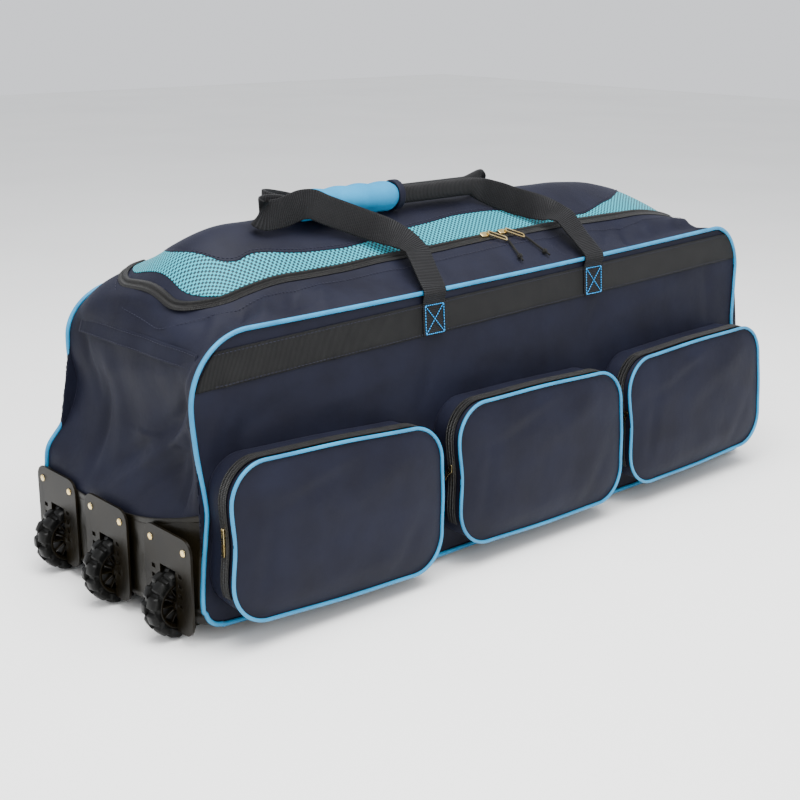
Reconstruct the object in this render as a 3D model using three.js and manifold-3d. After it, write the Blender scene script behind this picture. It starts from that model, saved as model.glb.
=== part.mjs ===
// Cricket kit bag on three wheels: a long cloth holdall with a zipped lid, three front pockets,
// two webbing handles joined by a padded wrap, and a moulded wheel end.
// Millimetres, +Z up. +X runs from the wheel end to the far end, +Y from the front to the back.

import * as THREE from 'three';
import { mergeVertices } from 'three/addons/utils/BufferGeometryUtils.js';
import Module from 'manifold-3d';

const wasm = await Module();
wasm.setup();

// Main body
const bodyLength = 896;
const bodyDepth = 322;
const panelHeight = 325;
const farEndRise = 17;
const panelLean = 24;
const crownRise = 82;
const clothWall = 2.5;
const fit = 0.3;
const baseCorner = 18;
const panelFoot = 8;
const wheelEndLift = 12;
const liftRun = 330;
const endFlare = 42;
const farFlare = 30;
const nearCorner = 165;
const farCorner = 250;

// Zip, lid and base
const zipWidth = 18;
const zipThickness = 2.6;
const lidInset = { near: 16, far: 19, front: 53, back: 36 };
const lidCorner = 58;
const seamGap = 0.6;
const baseSheet = 2;
const baseEdge = 10;
const baseRise = { lowest: 107, extra: 31, lowestDepth: 0.64 };
const seamWidth = 20;
const seamThickness = 1.2;
const seamHeight = 0.9;

// Piping and webbing
const pipingRadius = 3;
const bandWidth = 38;
const bandThickness = 1.6;
const bandFoot = 270;
const bandClimb = 24;
const strapWidth = 34;
const strapThickness = 2.4;
const strapSpacing = 281;
const rolledThickness = 9.5;
const rolledShare = 0.65;
const wrapLength = 155;
const wrapWall = 6;
const wrapRadius = 19;
const wrapRise = 15;
const bindingLength = 9;
const bindingStep = 0.8;

// Pockets
const pocketWidth = 288;
const pocketGap = 27.4;
const pocketHeight = 168;
const pocketDepth = 46;
const pocketCorner = 42;
const pocketWall = 2;
const pocketBulge = 9;
const pocketPinch = 6;
const pocketSag = 1.5;
const pocketPipingRadius = 2.4;
const pocketZipWidth = 13;
const pocketZipInset = 9;
const pocketZipThickness = 1.6;

// Wheels
const wheelRadius = 39;
const wheelWidth = 24;
const wheelPitch = 117.5;
const wheelReach = 38;
const wheelBow = 4;
const treadDepth = 4.5;
const treadLugs = 12;
const hubRadius = 27;
const hubRim = 5;
const hubBoss = 9;
const hubInset = 2;
const hubSpokes = 5;
const axleRadius = 3;
const wellGap = 4;
const wellSideGap = 2.6;
const wellWall = 2.5;
const plateWidth = 89;
const plateTop = 121;
const plateThickness = 3;
const plateCorner = 15;
const rivetRadius = 4.6;
const rivetHeight = 1.8;
const rivetSpacing = 62;

// Metal and cord
const sliderLength = 14;
const sliderWidth = 8;
const sliderHeight = 4;
const pullLength = 28;
const pullWidth = 9;
const pullRim = 2;
const pullThickness = 1.8;
const pocketPullLength = 26;
const pocketPullWidth = 5;
const cordRadius = 1.4;
const knotRadius = 3.6;

// Grab handle at the far end
const endHandleWidth = 25;
const endHandleHeight = 0.76;
const endHandleReach = 12;

// How finely the body is faceted
const bottomSteps = 6;
const endSteps = 7;
const cornerSteps = 4;
const topSteps = 7;
const tubeSides = 5;
const cordSides = 8;
const roundSteps = 8;
const wellSides = 16;

// Heights up the two ends, as shares of the panel height. The other columns are how far the cloth
// stands out there, as shares of the end's flare, at the front panel, mid-depth and the back panel.
const wheelEndRows = [
  { height: 0.04, front: 0.66, middle: 1.0, back: 0.8 },
  { height: 0.14, front: 0.74, middle: 1.0, back: 0.88 },
  { height: 0.26, front: 0.64, middle: 1.0, back: 0.9 },
  { height: 0.37, front: 0.5, middle: 0.96, back: 0.9 },
  { height: 0.44, front: 0.42, middle: 0.66, back: 0.82 },
  { height: 0.51, front: 0.46, middle: 0.34, back: 0.4 },
  { height: 0.59, front: 0.54, middle: 0.12, back: 0.08 },
  { height: 0.67, front: 0.6, middle: 0.0, back: -0.04 },
  { height: 0.78, front: 0.63, middle: 0.06, back: 0.12 },
  { height: 0.9, front: 0.52, middle: 0.03, back: 0.14 },
];
const farEndRows = [
  { height: 0.04, front: 1.0, middle: 0.95, back: 1.0 },
  { height: 0.2, front: 0.82, middle: 0.85, back: 0.85 },
  { height: 0.42, front: 0.3, middle: 0.35, back: 0.35 },
  { height: 0.62, front: 0.0, middle: 0.05, back: 0.05 },
  { height: 0.76, front: 0.12, middle: 0.05, back: 0.1 },
  { height: 0.9, front: 0.28, middle: 0.0, back: 0.25 },
];

// Sections from the front panel to the back one. Rise is a share of the crown's rise, the runs are
// shares of the named top corners, and the shoulders are shares of the panel height.
const sectionRows = [
  { depth: 0.0, rise: 0.0, nearRun: 0.45, nearShoulder: 0.77, farRun: 0.2, farShoulder: 0.87 },
  { depth: 0.12, rise: 0.26, nearRun: 0.78, nearShoulder: 0.82, farRun: 0.5, farShoulder: 0.89 },
  { depth: 0.23, rise: 0.48, nearRun: 0.98, nearShoulder: 0.86, farRun: 0.8, farShoulder: 0.91 },
  { depth: 0.5, rise: 1.0, nearRun: 0.86, nearShoulder: 0.86, farRun: 1.0, farShoulder: 0.92 },
  { depth: 0.77, rise: 0.56, nearRun: 0.64, nearShoulder: 0.94, farRun: 0.8, farShoulder: 0.91 },
  { depth: 0.88, rise: 0.36, nearRun: 0.54, nearShoulder: 0.93, farRun: 0.5, farShoulder: 0.89 },
  { depth: 1.0, rise: 0.04, nearRun: 0.42, nearShoulder: 0.84, farRun: 0.2, farShoulder: 0.87 },
];
const depthStations = [0, 0.1, 0.23, 0.36, 0.5, 0.64, 0.77, 0.9, 1];

// Folds and dents in the gusset. Along and height are shares of the body's length and panel height,
// depth is the share from the front, the spreads are shares too, and push is in shares of the fold size.
const foldSize = 9;
const foldRows = [
  { along: 0.02, height: 0.5, depth: 0.2, spread: 0.12, push: -1.0 },
  { along: 0.0, height: 0.62, depth: 0.42, spread: 0.1, push: 0.6 },
  { along: 0.06, height: 1.0, depth: 0.14, spread: 0.1, push: -0.5 },
  { along: 0.36, height: 1.08, depth: 0.12, spread: 0.09, push: -0.2 },
  { along: 0.78, height: 1.1, depth: 0.13, spread: 0.09, push: -0.7 },
];

// Navy centre of the lid: shares of the lid's length and of its half depth from the centre line
const navyRows = [
  { along: 0.055, aside: 0.0 },
  { along: 0.06, aside: 0.32 },
  { along: 0.085, aside: 0.72 },
  { along: 0.12, aside: 0.6 },
  { along: 0.2, aside: 0.66 },
  { along: 0.3, aside: 0.86 },
  { along: 0.37, aside: 0.955 },
  { along: 0.43, aside: 0.72 },
  { along: 0.52, aside: 0.64 },
  { along: 0.6, aside: 0.78 },
  { along: 0.67, aside: 0.955 },
  { along: 0.76, aside: 0.9 },
  { along: 0.86, aside: 0.66 },
  { along: 0.91, aside: 0.5 },
  { along: 0.93, aside: 0.0 },
];

// Pockets along the front: along is in a pocket's width and gap from the body's middle, height a share of
// the panel's, and turn in degrees. The slider is as far up the pocket's near side as its share of half the
// pocket's height, and its pull is turned too.
const pocketRows = [
  { along: -1.0255, height: 0.345, turn: -3, slider: 0.14, pullTurn: 0 },
  { along: -0.0085, height: 0.352, turn: -1, slider: 0.1, pullTurn: -35 },
  { along: 0.9744, height: 0.368, turn: 1.5, slider: -0.06, pullTurn: 160 },
];

// Where the handles run, from a foot to the wrap and from the wrap to the other foot. Along is in strap
// spacings from the bag's middle, depth is the share from the front, above is the height over the lid in
// strap widths, rolled goes from flat webbing to a rolled one, and the rest is the width's direction.
const frontRiseRows = [
  { along: -0.475, depth: 0.07, above: 0.45, rolled: 0, wx: 1, wy: 0, wz: 0 },
  { along: -0.455, depth: 0.135, above: 0.58, rolled: 0, wx: 1, wy: 0, wz: 0.1 },
  { along: -0.47, depth: 0.19, above: 0.6, rolled: 0, wx: 0.95, wy: 0, wz: 0.3 },
  { along: -0.51, depth: 0.24, above: 0.6, rolled: 0, wx: 0.8, wy: 0, wz: 0.55 },
  { along: -0.6, depth: 0.29, above: 0.64, rolled: 0, wx: 0.5, wy: 0, wz: 0.85 },
  { along: -0.7, depth: 0.322, above: 0.8, rolled: 0, wx: 0.42, wy: 0, wz: 0.9 },
  { along: -0.79, depth: 0.335, above: 1.0, rolled: 0, wx: 0.42, wy: 0, wz: 0.9 },
  { along: -0.87, depth: 0.34, above: 1.18, rolled: 0, wx: 0.4, wy: 0, wz: 0.9 },
  { along: -0.94, depth: 0.35, above: 1.28, rolled: 0, wx: 0.1, wy: 0, wz: 1 },
  { along: -0.975, depth: 0.378, above: 1.1, rolled: 0.2, wx: 0, wy: 0, wz: 1 },
  { along: -0.955, depth: 0.4, above: 0.88, rolled: 0.6, wx: 0, wy: 0, wz: 1 },
];
const frontFallRows = [
  { along: 0.17, depth: 0.385, above: 0.62, rolled: 0.3, wx: 0, wy: 0, wz: 1 },
  { along: 0.24, depth: 0.345, above: 0.6, rolled: 0, wx: 0, wy: 0, wz: 1 },
  { along: 0.31, depth: 0.305, above: 0.58, rolled: 0, wx: 0.1, wy: 0, wz: 1 },
  { along: 0.385, depth: 0.26, above: 0.62, rolled: 0, wx: 0.4, wy: 0, wz: 0.8 },
  { along: 0.44, depth: 0.205, above: 0.72, rolled: 0, wx: 0.8, wy: 0, wz: 0.5 },
  { along: 0.465, depth: 0.135, above: 0.86, rolled: 0, wx: 0.95, wy: 0, wz: 0.2 },
  { along: 0.49, depth: 0.07, above: 0.5, rolled: 0, wx: 1, wy: 0, wz: 0 },
];
const backRiseRows = [
  { along: -0.475, depth: 0.93, above: 0.34, rolled: 0, wx: 1, wy: 0, wz: 0 },
  { along: -0.47, depth: 0.87, above: 0.4, rolled: 0, wx: 1, wy: 0, wz: 0.1 },
  { along: -0.5, depth: 0.8, above: 0.5, rolled: 0, wx: 0.9, wy: 0, wz: 0.4 },
  { along: -0.58, depth: 0.73, above: 0.56, rolled: 0, wx: 0.6, wy: 0, wz: 0.8 },
  { along: -0.7, depth: 0.67, above: 0.58, rolled: 0, wx: 0.42, wy: 0, wz: 0.9 },
  { along: -0.82, depth: 0.62, above: 0.58, rolled: 0, wx: 0.3, wy: 0, wz: 0.95 },
  { along: -0.91, depth: 0.58, above: 0.58, rolled: 0, wx: 0.1, wy: 0, wz: 1 },
  { along: -0.965, depth: 0.53, above: 0.56, rolled: 0.2, wx: 0, wy: 0, wz: 1 },
  { along: -0.96, depth: 0.48, above: 0.54, rolled: 0.5, wx: 0, wy: 0, wz: 1 },
];
const backFallRows = [
  { along: 0.18, depth: 0.455, above: 0.56, rolled: 0.6, wx: 0, wy: 0, wz: 1 },
  { along: 0.225, depth: 0.48, above: 0.53, rolled: 0.2, wx: 0.35, wy: -0.15, wz: 0.9 },
  { along: 0.27, depth: 0.54, above: 0.38, rolled: 0, wx: 0.75, wy: -0.4, wz: 0.5 },
  { along: 0.33, depth: 0.64, above: 0.26, rolled: 0, wx: 0.85, wy: -0.4, wz: 0.2 },
  { along: 0.39, depth: 0.73, above: 0.24, rolled: 0, wx: 0.93, wy: -0.3, wz: 0 },
  { along: 0.45, depth: 0.8, above: 0.26, rolled: 0, wx: 1, wy: -0.1, wz: 0 },
  { along: 0.475, depth: 0.87, above: 0.3, rolled: 0, wx: 1, wy: 0, wz: 0 },
  { along: 0.48, depth: 0.93, above: 0.32, rolled: 0, wx: 1, wy: 0, wz: 0 },
];
const wrapPlace = { along: -0.875, depth: 0.4255 };
const heldEnd = 0.11;

// The main zip's two sliders: their place along the zip, their pulls' turn in degrees, and their knots' place
const pullRows = [
  { name: 'left', along: 0.03, turn: 58, knotAlong: 0.1, knotDepth: 0.066 },
  { name: 'right', along: 0.142, turn: 58, knotAlong: 0.262, knotDepth: 0.066 },
];
const pullTilt = 5;

// Colours and finishes
const navy = cloth(0x2b2d42);
const airMesh = cloth(0x6fcfd6);
const lightBlue = cloth(0x58b0d4, 0.6);
const webbing = cloth(0x36363a);
const coatedCloth = cloth(0x1b1a18, 0.45);
const zipBlack = cloth(0x17171a, 0.6);
const mouldedBlack = cloth(0x1c1b1a, 0.5);
const rubber = cloth(0x202022, 0.9);
const brass = metal(0xd9b469, 0.3);
const steel = metal(0xb9babd, 0.35);

function cloth(colour, roughness = 0.9) {
  return new THREE.MeshStandardMaterial({ color: colour, roughness, metalness: 0 });
}

function metal(colour, roughness) {
  return new THREE.MeshStandardMaterial({ color: colour, roughness, metalness: 1 });
}

// A closed body from rings of points, joined ring to ring, with fanned ends or joined round into a loop.
function bodyFromRings(rings, looped = false) {
  const count = rings[0].length;
  const points = rings.flat();
  const triangles = [];
  const last = looped ? rings.length : rings.length - 1;
  for (let i = 0; i < last; i += 1) {
    const here = i * count;
    const next = ((i + 1) % rings.length) * count;
    for (let j = 0; j < count; j += 1) {
      const k = (j + 1) % count;
      triangles.push(here + j, here + k, next + k, here + j, next + k, next + j);
    }
  }
  if (!looped) {
    for (const end of [0, rings.length - 1]) {
      const middle = new THREE.Vector3();
      rings[end].forEach((point) => middle.add(point));
      points.push(middle.divideScalar(count));
      for (let j = 0; j < count; j += 1) {
        const pair = [end * count + j, end * count + (j + 1) % count];
        if (end === 0) pair.reverse();
        triangles.push(pair[0], pair[1], points.length - 1);
      }
    }
  }
  return facedOut(points, triangles);
}

// Positions and triangles made a geometry, turned so that its faces point out.
function facedOut(points, triangles) {
  let volume = 0;
  const cross = new THREE.Vector3();
  for (let i = 0; i < triangles.length; i += 3) {
    const [a, b, c] = [points[triangles[i]], points[triangles[i + 1]], points[triangles[i + 2]]];
    volume += cross.crossVectors(a, b).dot(c);
  }
  const order = volume < 0 ? triangles.slice().reverse() : triangles;
  const geometry = new THREE.BufferGeometry();
  geometry.setAttribute('position', new THREE.Float32BufferAttribute(points.flatMap((p) => p.toArray()), 3));
  geometry.setIndex(order);
  return geometry;
}

function solid(geometry) {
  const bare = geometry.clone();
  bare.deleteAttribute('normal');
  bare.deleteAttribute('uv');
  const merged = mergeVertices(bare, 1e-4);
  return new wasm.Manifold(new wasm.Mesh({
    numProp: 3,
    vertProperties: new Float32Array(merged.attributes.position.array),
    triVerts: new Uint32Array(merged.index.array),
  }));
}

function geometryOf(body) {
  const mesh = body.getMesh();
  const geometry = new THREE.BufferGeometry();
  geometry.setAttribute('position', new THREE.BufferAttribute(mesh.vertProperties, 3));
  geometry.setIndex(new THREE.BufferAttribute(mesh.triVerts, 1));
  return geometry;
}

function mix(a, b, share) {
  return a + (b - a) * share;
}

function clamp(value, low, high) {
  return Math.min(Math.max(value, low), high);
}

function spread(count, from = 0, to = 1) {
  return Array.from({ length: count + 1 }, (_, i) => mix(from, to, i / count));
}

// A smooth curve through one column of a table, read at a value of its key column.
function readTable(rows, key, column, at) {
  const last = rows.length - 1;
  const value = clamp(at, rows[0][key], rows[last][key]);
  let i = 0;
  while (i < last - 1 && value > rows[i + 1][key]) i += 1;
  const slope = (k) => {
    const a = rows[Math.max(k - 1, 0)];
    const b = rows[Math.min(k + 1, last)];
    return (b[column] - a[column]) / (b[key] - a[key]);
  };
  const width = rows[i + 1][key] - rows[i][key];
  const t = (value - rows[i][key]) / width;
  const start = rows[i][column];
  const end = rows[i + 1][column];
  const bend = (3 - 2 * t) * t * t;
  return mix(start, end, bend)
    + width * (slope(i) * t * (1 - t) ** 2 - slope(i + 1) * t * t * (1 - t));
}

// The bag's main form

function panelTop(x) {
  return panelHeight + farEndRise * clamp(x / bodyLength, 0, 1) ** 2;
}

function lift(x) {
  return wheelEndLift * clamp(1 - (x + endFlare) / liftRun, 0, 1) ** 2;
}

// Height of the underside: flat on the floor in the middle, curling up to each panel's foot.
function underside(x, depth) {
  const edge = Math.min(depth, 1 - depth);
  const curl = clamp(1 - edge / 0.12, 0, 1) ** 2;
  return baseSheet + fit + lift(x) + panelFoot * curl;
}

// How far an end stands out at a height, blended from its front, middle and back profiles.
function endReach(rows, flare, height, depth) {
  const share = height / panelHeight;
  const edge = depth < 0.5 ? 'front' : 'back';
  const middle = 1 - Math.abs(1 - 2 * depth) ** 3.5;
  const [atEdge, atMiddle] = [edge, 'middle'].map((column) => readTable(rows, 'height', column, share));
  return flare * mix(atEdge, atMiddle, middle);
}

function nearX(z, depth) {
  return -endReach(wheelEndRows, endFlare, z, depth);
}

function farX(z, depth) {
  return bodyLength + endReach(farEndRows, farFlare, z, depth);
}

function section(column, depth) {
  return readTable(sectionRows, 'depth', column, depth);
}

// Height of the top between its corners: the crown is level, and the panels climb to the far end.
function topBetween(x, depth) {
  return mix(panelTop(x), panelHeight + crownRise, section('rise', depth));
}

function frontY(z) {
  return (panelLean * z) / panelHeight;
}

function backY(z) {
  return bodyDepth - (panelLean * z) / panelHeight;
}

// Push of the folds at a point of the gusset, positive outwards.
function foldPush(x, z, depth) {
  let push = 0;
  for (const fold of foldRows) {
    const away = ((x / bodyLength - fold.along) * 1.6) ** 2 + (z / panelHeight - fold.height) ** 2
      + (depth - fold.depth) ** 2;
    push += fold.push * Math.exp(-away / fold.spread ** 2);
  }
  return foldSize * push * Math.min(1, Math.min(depth, 1 - depth) * 12);
}

// One section of the bag across its length, standing out by a distance, as [x, z] points from the
// near bottom corner along the underside, up the far end, back over the top and down the wheel end.
function sectionOutline(depth, out) {
  const points = [];
  const shoulder = {
    near: section('nearShoulder', depth) * panelHeight,
    far: section('farShoulder', depth) * panelHeight,
  };
  const run = {
    near: section('nearRun', depth) * nearCorner,
    far: section('farRun', depth) * farCorner,
  };
  const start = { near: nearX(shoulder.near, depth), far: farX(shoulder.far, depth) };
  const foot = { near: nearX(baseCorner, depth), far: farX(baseCorner, depth) };
  for (const t of spread(bottomSteps)) {
    const x = mix(foot.near + baseCorner, foot.far - baseCorner, t);
    points.push([x, underside(x, depth) - out]);
  }
  const low = {
    near: underside(foot.near, depth) + baseCorner,
    far: underside(foot.far, depth) + baseCorner,
  };
  const turn = Math.SQRT1_2 * (baseCorner + out);
  points.push([foot.far - baseCorner + turn, low.far - turn]);
  for (const t of spread(endSteps)) {
    const z = mix(low.far, shoulder.far, t);
    points.push([farX(z, depth) + out, z]);
  }
  for (const t of spread(cornerSteps).slice(1)) {
    const angle = t * Math.PI / 2;
    const x = start.far - run.far * (1 - Math.cos(angle));
    const top = topBetween(x, depth) - shoulder.far;
    points.push([x + out * Math.cos(angle), shoulder.far + top * Math.sin(angle) + out * Math.sin(angle)]);
  }
  const topEnds = [start.far - run.far, start.near + run.near];
  for (const t of spread(topSteps).slice(1)) {
    const x = mix(topEnds[0], topEnds[1], t);
    points.push([x, topBetween(x, depth) + out]);
  }
  for (const t of spread(cornerSteps).slice(1)) {
    const angle = (1 - t) * Math.PI / 2;
    const x = start.near + run.near * (1 - Math.cos(angle));
    const top = topBetween(x, depth) - shoulder.near;
    points.push([x - out * Math.cos(angle), shoulder.near + top * Math.sin(angle) + out * Math.sin(angle)]);
  }
  for (const t of spread(endSteps).slice(1)) {
    const z = mix(shoulder.near, low.near, t);
    points.push([nearX(z, depth) - out, z]);
  }
  points.push([foot.near + baseCorner - turn, low.near - turn]);
  return points;
}

// The whole closed form of the bag, standing out by a distance or drawn in by it.
function bagForm(out) {
  const rings = depthStations.map((depth) => sectionOutline(depth, out).map(([x, z]) => {
    const push = foldPush(x, z, depth);
    const along = clamp((x / bodyLength) * 2 - 1, -1, 1) ** 5;
    const above = z > panelHeight * 0.6 ? 1 : 0;
    const y = mix(frontY(z) - out, backY(z) + out, depth);
    return new THREE.Vector3(
      x + push * along * (1 - above * 0.4),
      y,
      z + push * above * (1 - Math.abs(along)),
    );
  }));
  return solid(bodyFromRings(rings));
}

function skin(from, to) {
  return bagForm(to).subtract(bagForm(from));
}

// Cutting prisms

function prism(shape, depth, curveSegments = 2) {
  return new THREE.ExtrudeGeometry(shape, { depth, bevelEnabled: false, curveSegments });
}

function roundedShape(x0, y0, x1, y1, radius) {
  const r = Math.min(radius, (x1 - x0) / 2, (y1 - y0) / 2);
  const shape = new THREE.Shape();
  shape.moveTo(x0 + r, y0);
  shape.lineTo(x1 - r, y0);
  shape.absarc(x1 - r, y0 + r, r, -Math.PI / 2, 0, false);
  shape.lineTo(x1, y1 - r);
  shape.absarc(x1 - r, y1 - r, r, 0, Math.PI / 2, false);
  shape.lineTo(x0 + r, y1);
  shape.absarc(x0 + r, y1 - r, r, Math.PI / 2, Math.PI, false);
  shape.lineTo(x0, y0 + r);
  shape.absarc(x0 + r, y0 + r, r, Math.PI, Math.PI * 1.5, false);
  return shape;
}

const prismFoot = panelHeight * 0.62;
const prismHeight = panelHeight + crownRise;

// The lid's opening in plan. The zip's width comes off three sides and only a seam off the hinge side.
function lidPrism(inset, hingeInset) {
  const shape = roundedShape(
    lidInset.near + inset,
    lidInset.front + panelLean + inset - fit,
    bodyLength - lidInset.far - inset,
    bodyDepth - panelLean - lidInset.back - hingeInset,
    lidCorner - inset,
  );
  return solid(prism(shape, prismHeight).translate(0, 0, prismFoot));
}

function box(x0, y0, z0, x1, y1, z1) {
  const geometry = new THREE.BoxGeometry(x1 - x0, y1 - y0, z1 - z0);
  return solid(geometry.translate((x0 + x1) / 2, (y0 + y1) / 2, (z0 + z1) / 2));
}

// The navy centre's outline in plan, the same on both sides of the lid's centre line.
function navyPrism(shrink) {
  const x0 = lidInset.near + zipWidth;
  const x1 = bodyLength - lidInset.far - zipWidth;
  const y0 = lidInset.front + panelLean + zipWidth;
  const y1 = bodyDepth - panelLean - lidInset.back - seamGap;
  const half = (y1 - y0) / 2;
  const side = navyRows.map((row) => [mix(x0, x1, row.along), row.aside * (half - shrink)]);
  const front = side.map(([x, aside]) => new THREE.Vector2(x, (y0 + y1) / 2 - aside));
  const back = side.slice(1, -1).reverse().map(([x, aside]) => new THREE.Vector2(x, (y0 + y1) / 2 + aside));
  const ends = { near: front[0].x + shrink, far: front.at(-1).x - shrink };
  const inside = ({ x, y }) => new THREE.Vector2(clamp(x, ends.near, ends.far), y);
  const shape = new THREE.Shape([...front, ...back].map(inside));
  return solid(prism(shape, prismHeight).translate(0, 0, prismFoot));
}

// A drawing in Y and Z carried along X
function acrossEnd(shape, from, to) {
  const axes = new THREE.Matrix4().makeBasis(
    new THREE.Vector3(0, 1, 0),
    new THREE.Vector3(0, 0, 1),
    new THREE.Vector3(1, 0, 0),
  );
  return solid(prism(shape, to - from).applyMatrix4(axes).translate(from, 0, 0));
}

// Wheel wells and their housings

const wheels = [0, 1, 2].map((i) => ({
  name: i + 1,
  x: -wheelReach - (i === 1 ? wheelBow : 0),
  y: bodyDepth / 2 + (i - 1) * wheelPitch,
  z: wheelRadius,
}));
const plateBack = -(endFlare + baseSheet + 2 * fit);
const wellRadius = wheelRadius + wellGap;
const wellHalf = wheelWidth / 2 + wellSideGap;

function drum(radius, half, wheel, sides) {
  const geometry = new THREE.CylinderGeometry(radius, radius, half * 2, sides);
  return solid(geometry.translate(wheel.x, wheel.y, wheel.z));
}

// The hole in the cloth and the base that a wheel's housing fills
function wellHole(wheel) {
  const room = wellWall + 2 * fit;
  return drum(wellRadius + room, wellHalf + room, wheel, wellSides);
}

function plateX(wheel) {
  return wheel.x + wheelReach + plateBack;
}

// The moulded plate with the cup that closes its well, bored for the axle
function housing(wheel) {
  const foot = underside(plateBack, 0.5) - baseSheet;
  const back = plateX(wheel);
  const plate = acrossEnd(
    roundedShape(wheel.y - plateWidth / 2, foot, wheel.y + plateWidth / 2, plateTop, plateCorner),
    back - plateThickness,
    back,
  );
  const far = wellRadius + wellWall + wellHalf;
  const cup = drum(wellRadius + wellWall, wellHalf + wellWall, wheel, wellSides)
    .intersect(box(back - plateThickness / 2, wheel.y - far, foot, wheel.x + far, wheel.y + far, plateTop));
  return plate
    .add(cup)
    .subtract(drum(wellRadius, wellHalf, wheel, wellSides))
    .subtract(drum(axleRadius + fit, wellHalf + 2 * wellWall, wheel, 2 * roundSteps));
}

function ringHole(radius) {
  const bore = new THREE.Path();
  bore.absarc(0, 0, radius, 0, 2 * Math.PI, true);
  return bore;
}

// A drawing of a wheel's side carried across the wheel's width
function acrossWheel(shape, width, wheel) {
  const geometry = new THREE.ExtrudeGeometry(shape, {
    depth: width,
    bevelEnabled: false,
    curveSegments: roundSteps,
  });
  return geometry.rotateX(Math.PI / 2).translate(wheel.x, wheel.y + width / 2, wheel.z);
}

function polar(radius, angle) {
  return new THREE.Vector2(radius * Math.cos(angle), radius * Math.sin(angle));
}

// The tyre's ring with raised lugs
function tyre(wheel) {
  const low = wheelRadius - treadDepth;
  const lug = [[-0.2, wheelRadius], [0.2, wheelRadius], [0.32, low], [0.68, low]];
  const pitch = 2 * Math.PI / treadLugs;
  const outline = [];
  for (let i = 0; i < treadLugs; i += 1) {
    lug.forEach(([share, radius]) => outline.push(polar(radius, (i + share) * pitch)));
  }
  const shape = new THREE.Shape(outline);
  shape.holes.push(ringHole(hubRadius + fit));
  return acrossWheel(shape, wheelWidth, wheel);
}

// The hub, with windows between its spokes
function hub(wheel) {
  const shape = new THREE.Shape();
  shape.absarc(0, 0, hubRadius, 0, 2 * Math.PI, false);
  shape.holes.push(ringHole(axleRadius + fit));
  const pitch = 2 * Math.PI / hubSpokes;
  const outer = hubRadius - hubRim;
  const corners = [[hubBoss, 0.3], [hubBoss, 0.7], [outer, 0.84], [outer, 0.16]];
  for (let i = 0; i < hubSpokes; i += 1) {
    shape.holes.push(new THREE.Path(corners.map(([radius, share]) => polar(radius, (i + share) * pitch))));
  }
  return acrossWheel(shape, wheelWidth - 2 * hubInset, wheel);
}

function axle(wheel) {
  const length = 2 * (wellHalf + wellWall - fit);
  const geometry = new THREE.CylinderGeometry(axleRadius, axleRadius, length, 2 * roundSteps);
  return geometry.translate(wheel.x, wheel.y, wheel.z);
}

function rivet(wheel, side) {
  const head = [[0, 0], [rivetRadius, 0], [rivetRadius * 0.8, rivetHeight * 0.6], [0, rivetHeight]];
  const geometry = new THREE.LatheGeometry(head.map((p) => new THREE.Vector2(...p)), roundSteps);
  const face = plateX(wheel) - plateThickness - fit;
  return geometry
    .rotateZ(Math.PI / 2)
    .translate(face, wheel.y + (side * rivetSpacing) / 2, plateTop - plateCorner);
}

// Sweeps

// A tube or ribbon whose section is carried along a row of stations. Each station has a place, the
// section's width direction and its thickness direction. The section holds [across, through] pairs.
function sweep(stations, profileAt, looped = false) {
  const rings = stations.map((station, i) => profileAt(i).map(([across, through]) => station.place.clone()
    .addScaledVector(station.across, across)
    .addScaledVector(station.through, through)));
  return bodyFromRings(rings, looped);
}

function roundProfile(radius, sides = tubeSides) {
  return Array.from({ length: sides }, (_, i) => {
    const angle = ((i + 0.5) / sides) * 2 * Math.PI;
    return [radius * Math.cos(angle), radius * Math.sin(angle)];
  });
}

function flatProfile(width, thickness) {
  const [w, t] = [width / 2, thickness / 2];
  return [[-w, -t], [w, -t], [w, t], [-w, t]];
}

// Stations along points, with a given width direction at each, made square to the path
function stationsAlong(points, widths, looped = false) {
  const last = points.length - 1;
  return points.map((place, i) => {
    const before = looped ? points[(i + last) % points.length] : points[Math.max(i - 1, 0)];
    const after = looped ? points[(i + 1) % points.length] : points[Math.min(i + 1, last)];
    const along = after.clone().sub(before).normalize();
    const across = widths[i].clone().addScaledVector(along, -widths[i].dot(along)).normalize();
    return { place, across, through: new THREE.Vector3().crossVectors(along, across).normalize() };
  });
}

// The distance that piping stands off both faces of the corner that it lies in
function pipingStand(radius) {
  return (radius + fit) * Math.SQRT1_2 + fit;
}

// Piping round a big panel: the tube lies in the corner between the panel's edge and the gusset.
function panelPiping(depth) {
  const front = depth < 0.5;
  const outline = sectionOutline(depth, 0);
  const stand = pipingStand(pipingRadius);
  const count = outline.length;
  const points = outline.map(([x, z], i) => {
    const before = outline[(i + count - 1) % count];
    const after = outline[(i + 1) % count];
    const normal = new THREE.Vector2(after[1] - before[1], before[0] - after[0]).normalize();
    const y = front ? frontY(z) - stand : backY(z) + stand;
    return new THREE.Vector3(x + normal.x * stand, y, z + normal.y * stand);
  });
  const widths = points.map(() => new THREE.Vector3(0, 1, 0));
  return sweep(stationsAlong(points, widths, true), () => roundProfile(pipingRadius), true);
}

// The webbing band across a big panel, cut back at its top corners to clear the piping
function bandZ(x, up) {
  return bandFoot + bandClimb * (x / bodyLength) + up * bandWidth;
}

function webbingBand(front) {
  const depth = front ? 0 : 1;
  const inset = 2 * pipingRadius;
  const from = nearX(bandFoot, depth) + inset;
  const to = farX(bandFoot, depth) - inset;
  const cut = bandWidth * 0.75;
  const corners = [[from, 0], [to, 0], [to - cut, 1], [from + cut, 1]];
  const ring = (gap) => corners.map(([x, up]) => {
    const z = bandZ(x, up);
    return new THREE.Vector3(x, front ? frontY(z) - gap : backY(z) + gap, z);
  });
  return bodyFromRings([ring(fit), ring(fit + bandThickness)]);
}

// Pockets

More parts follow.
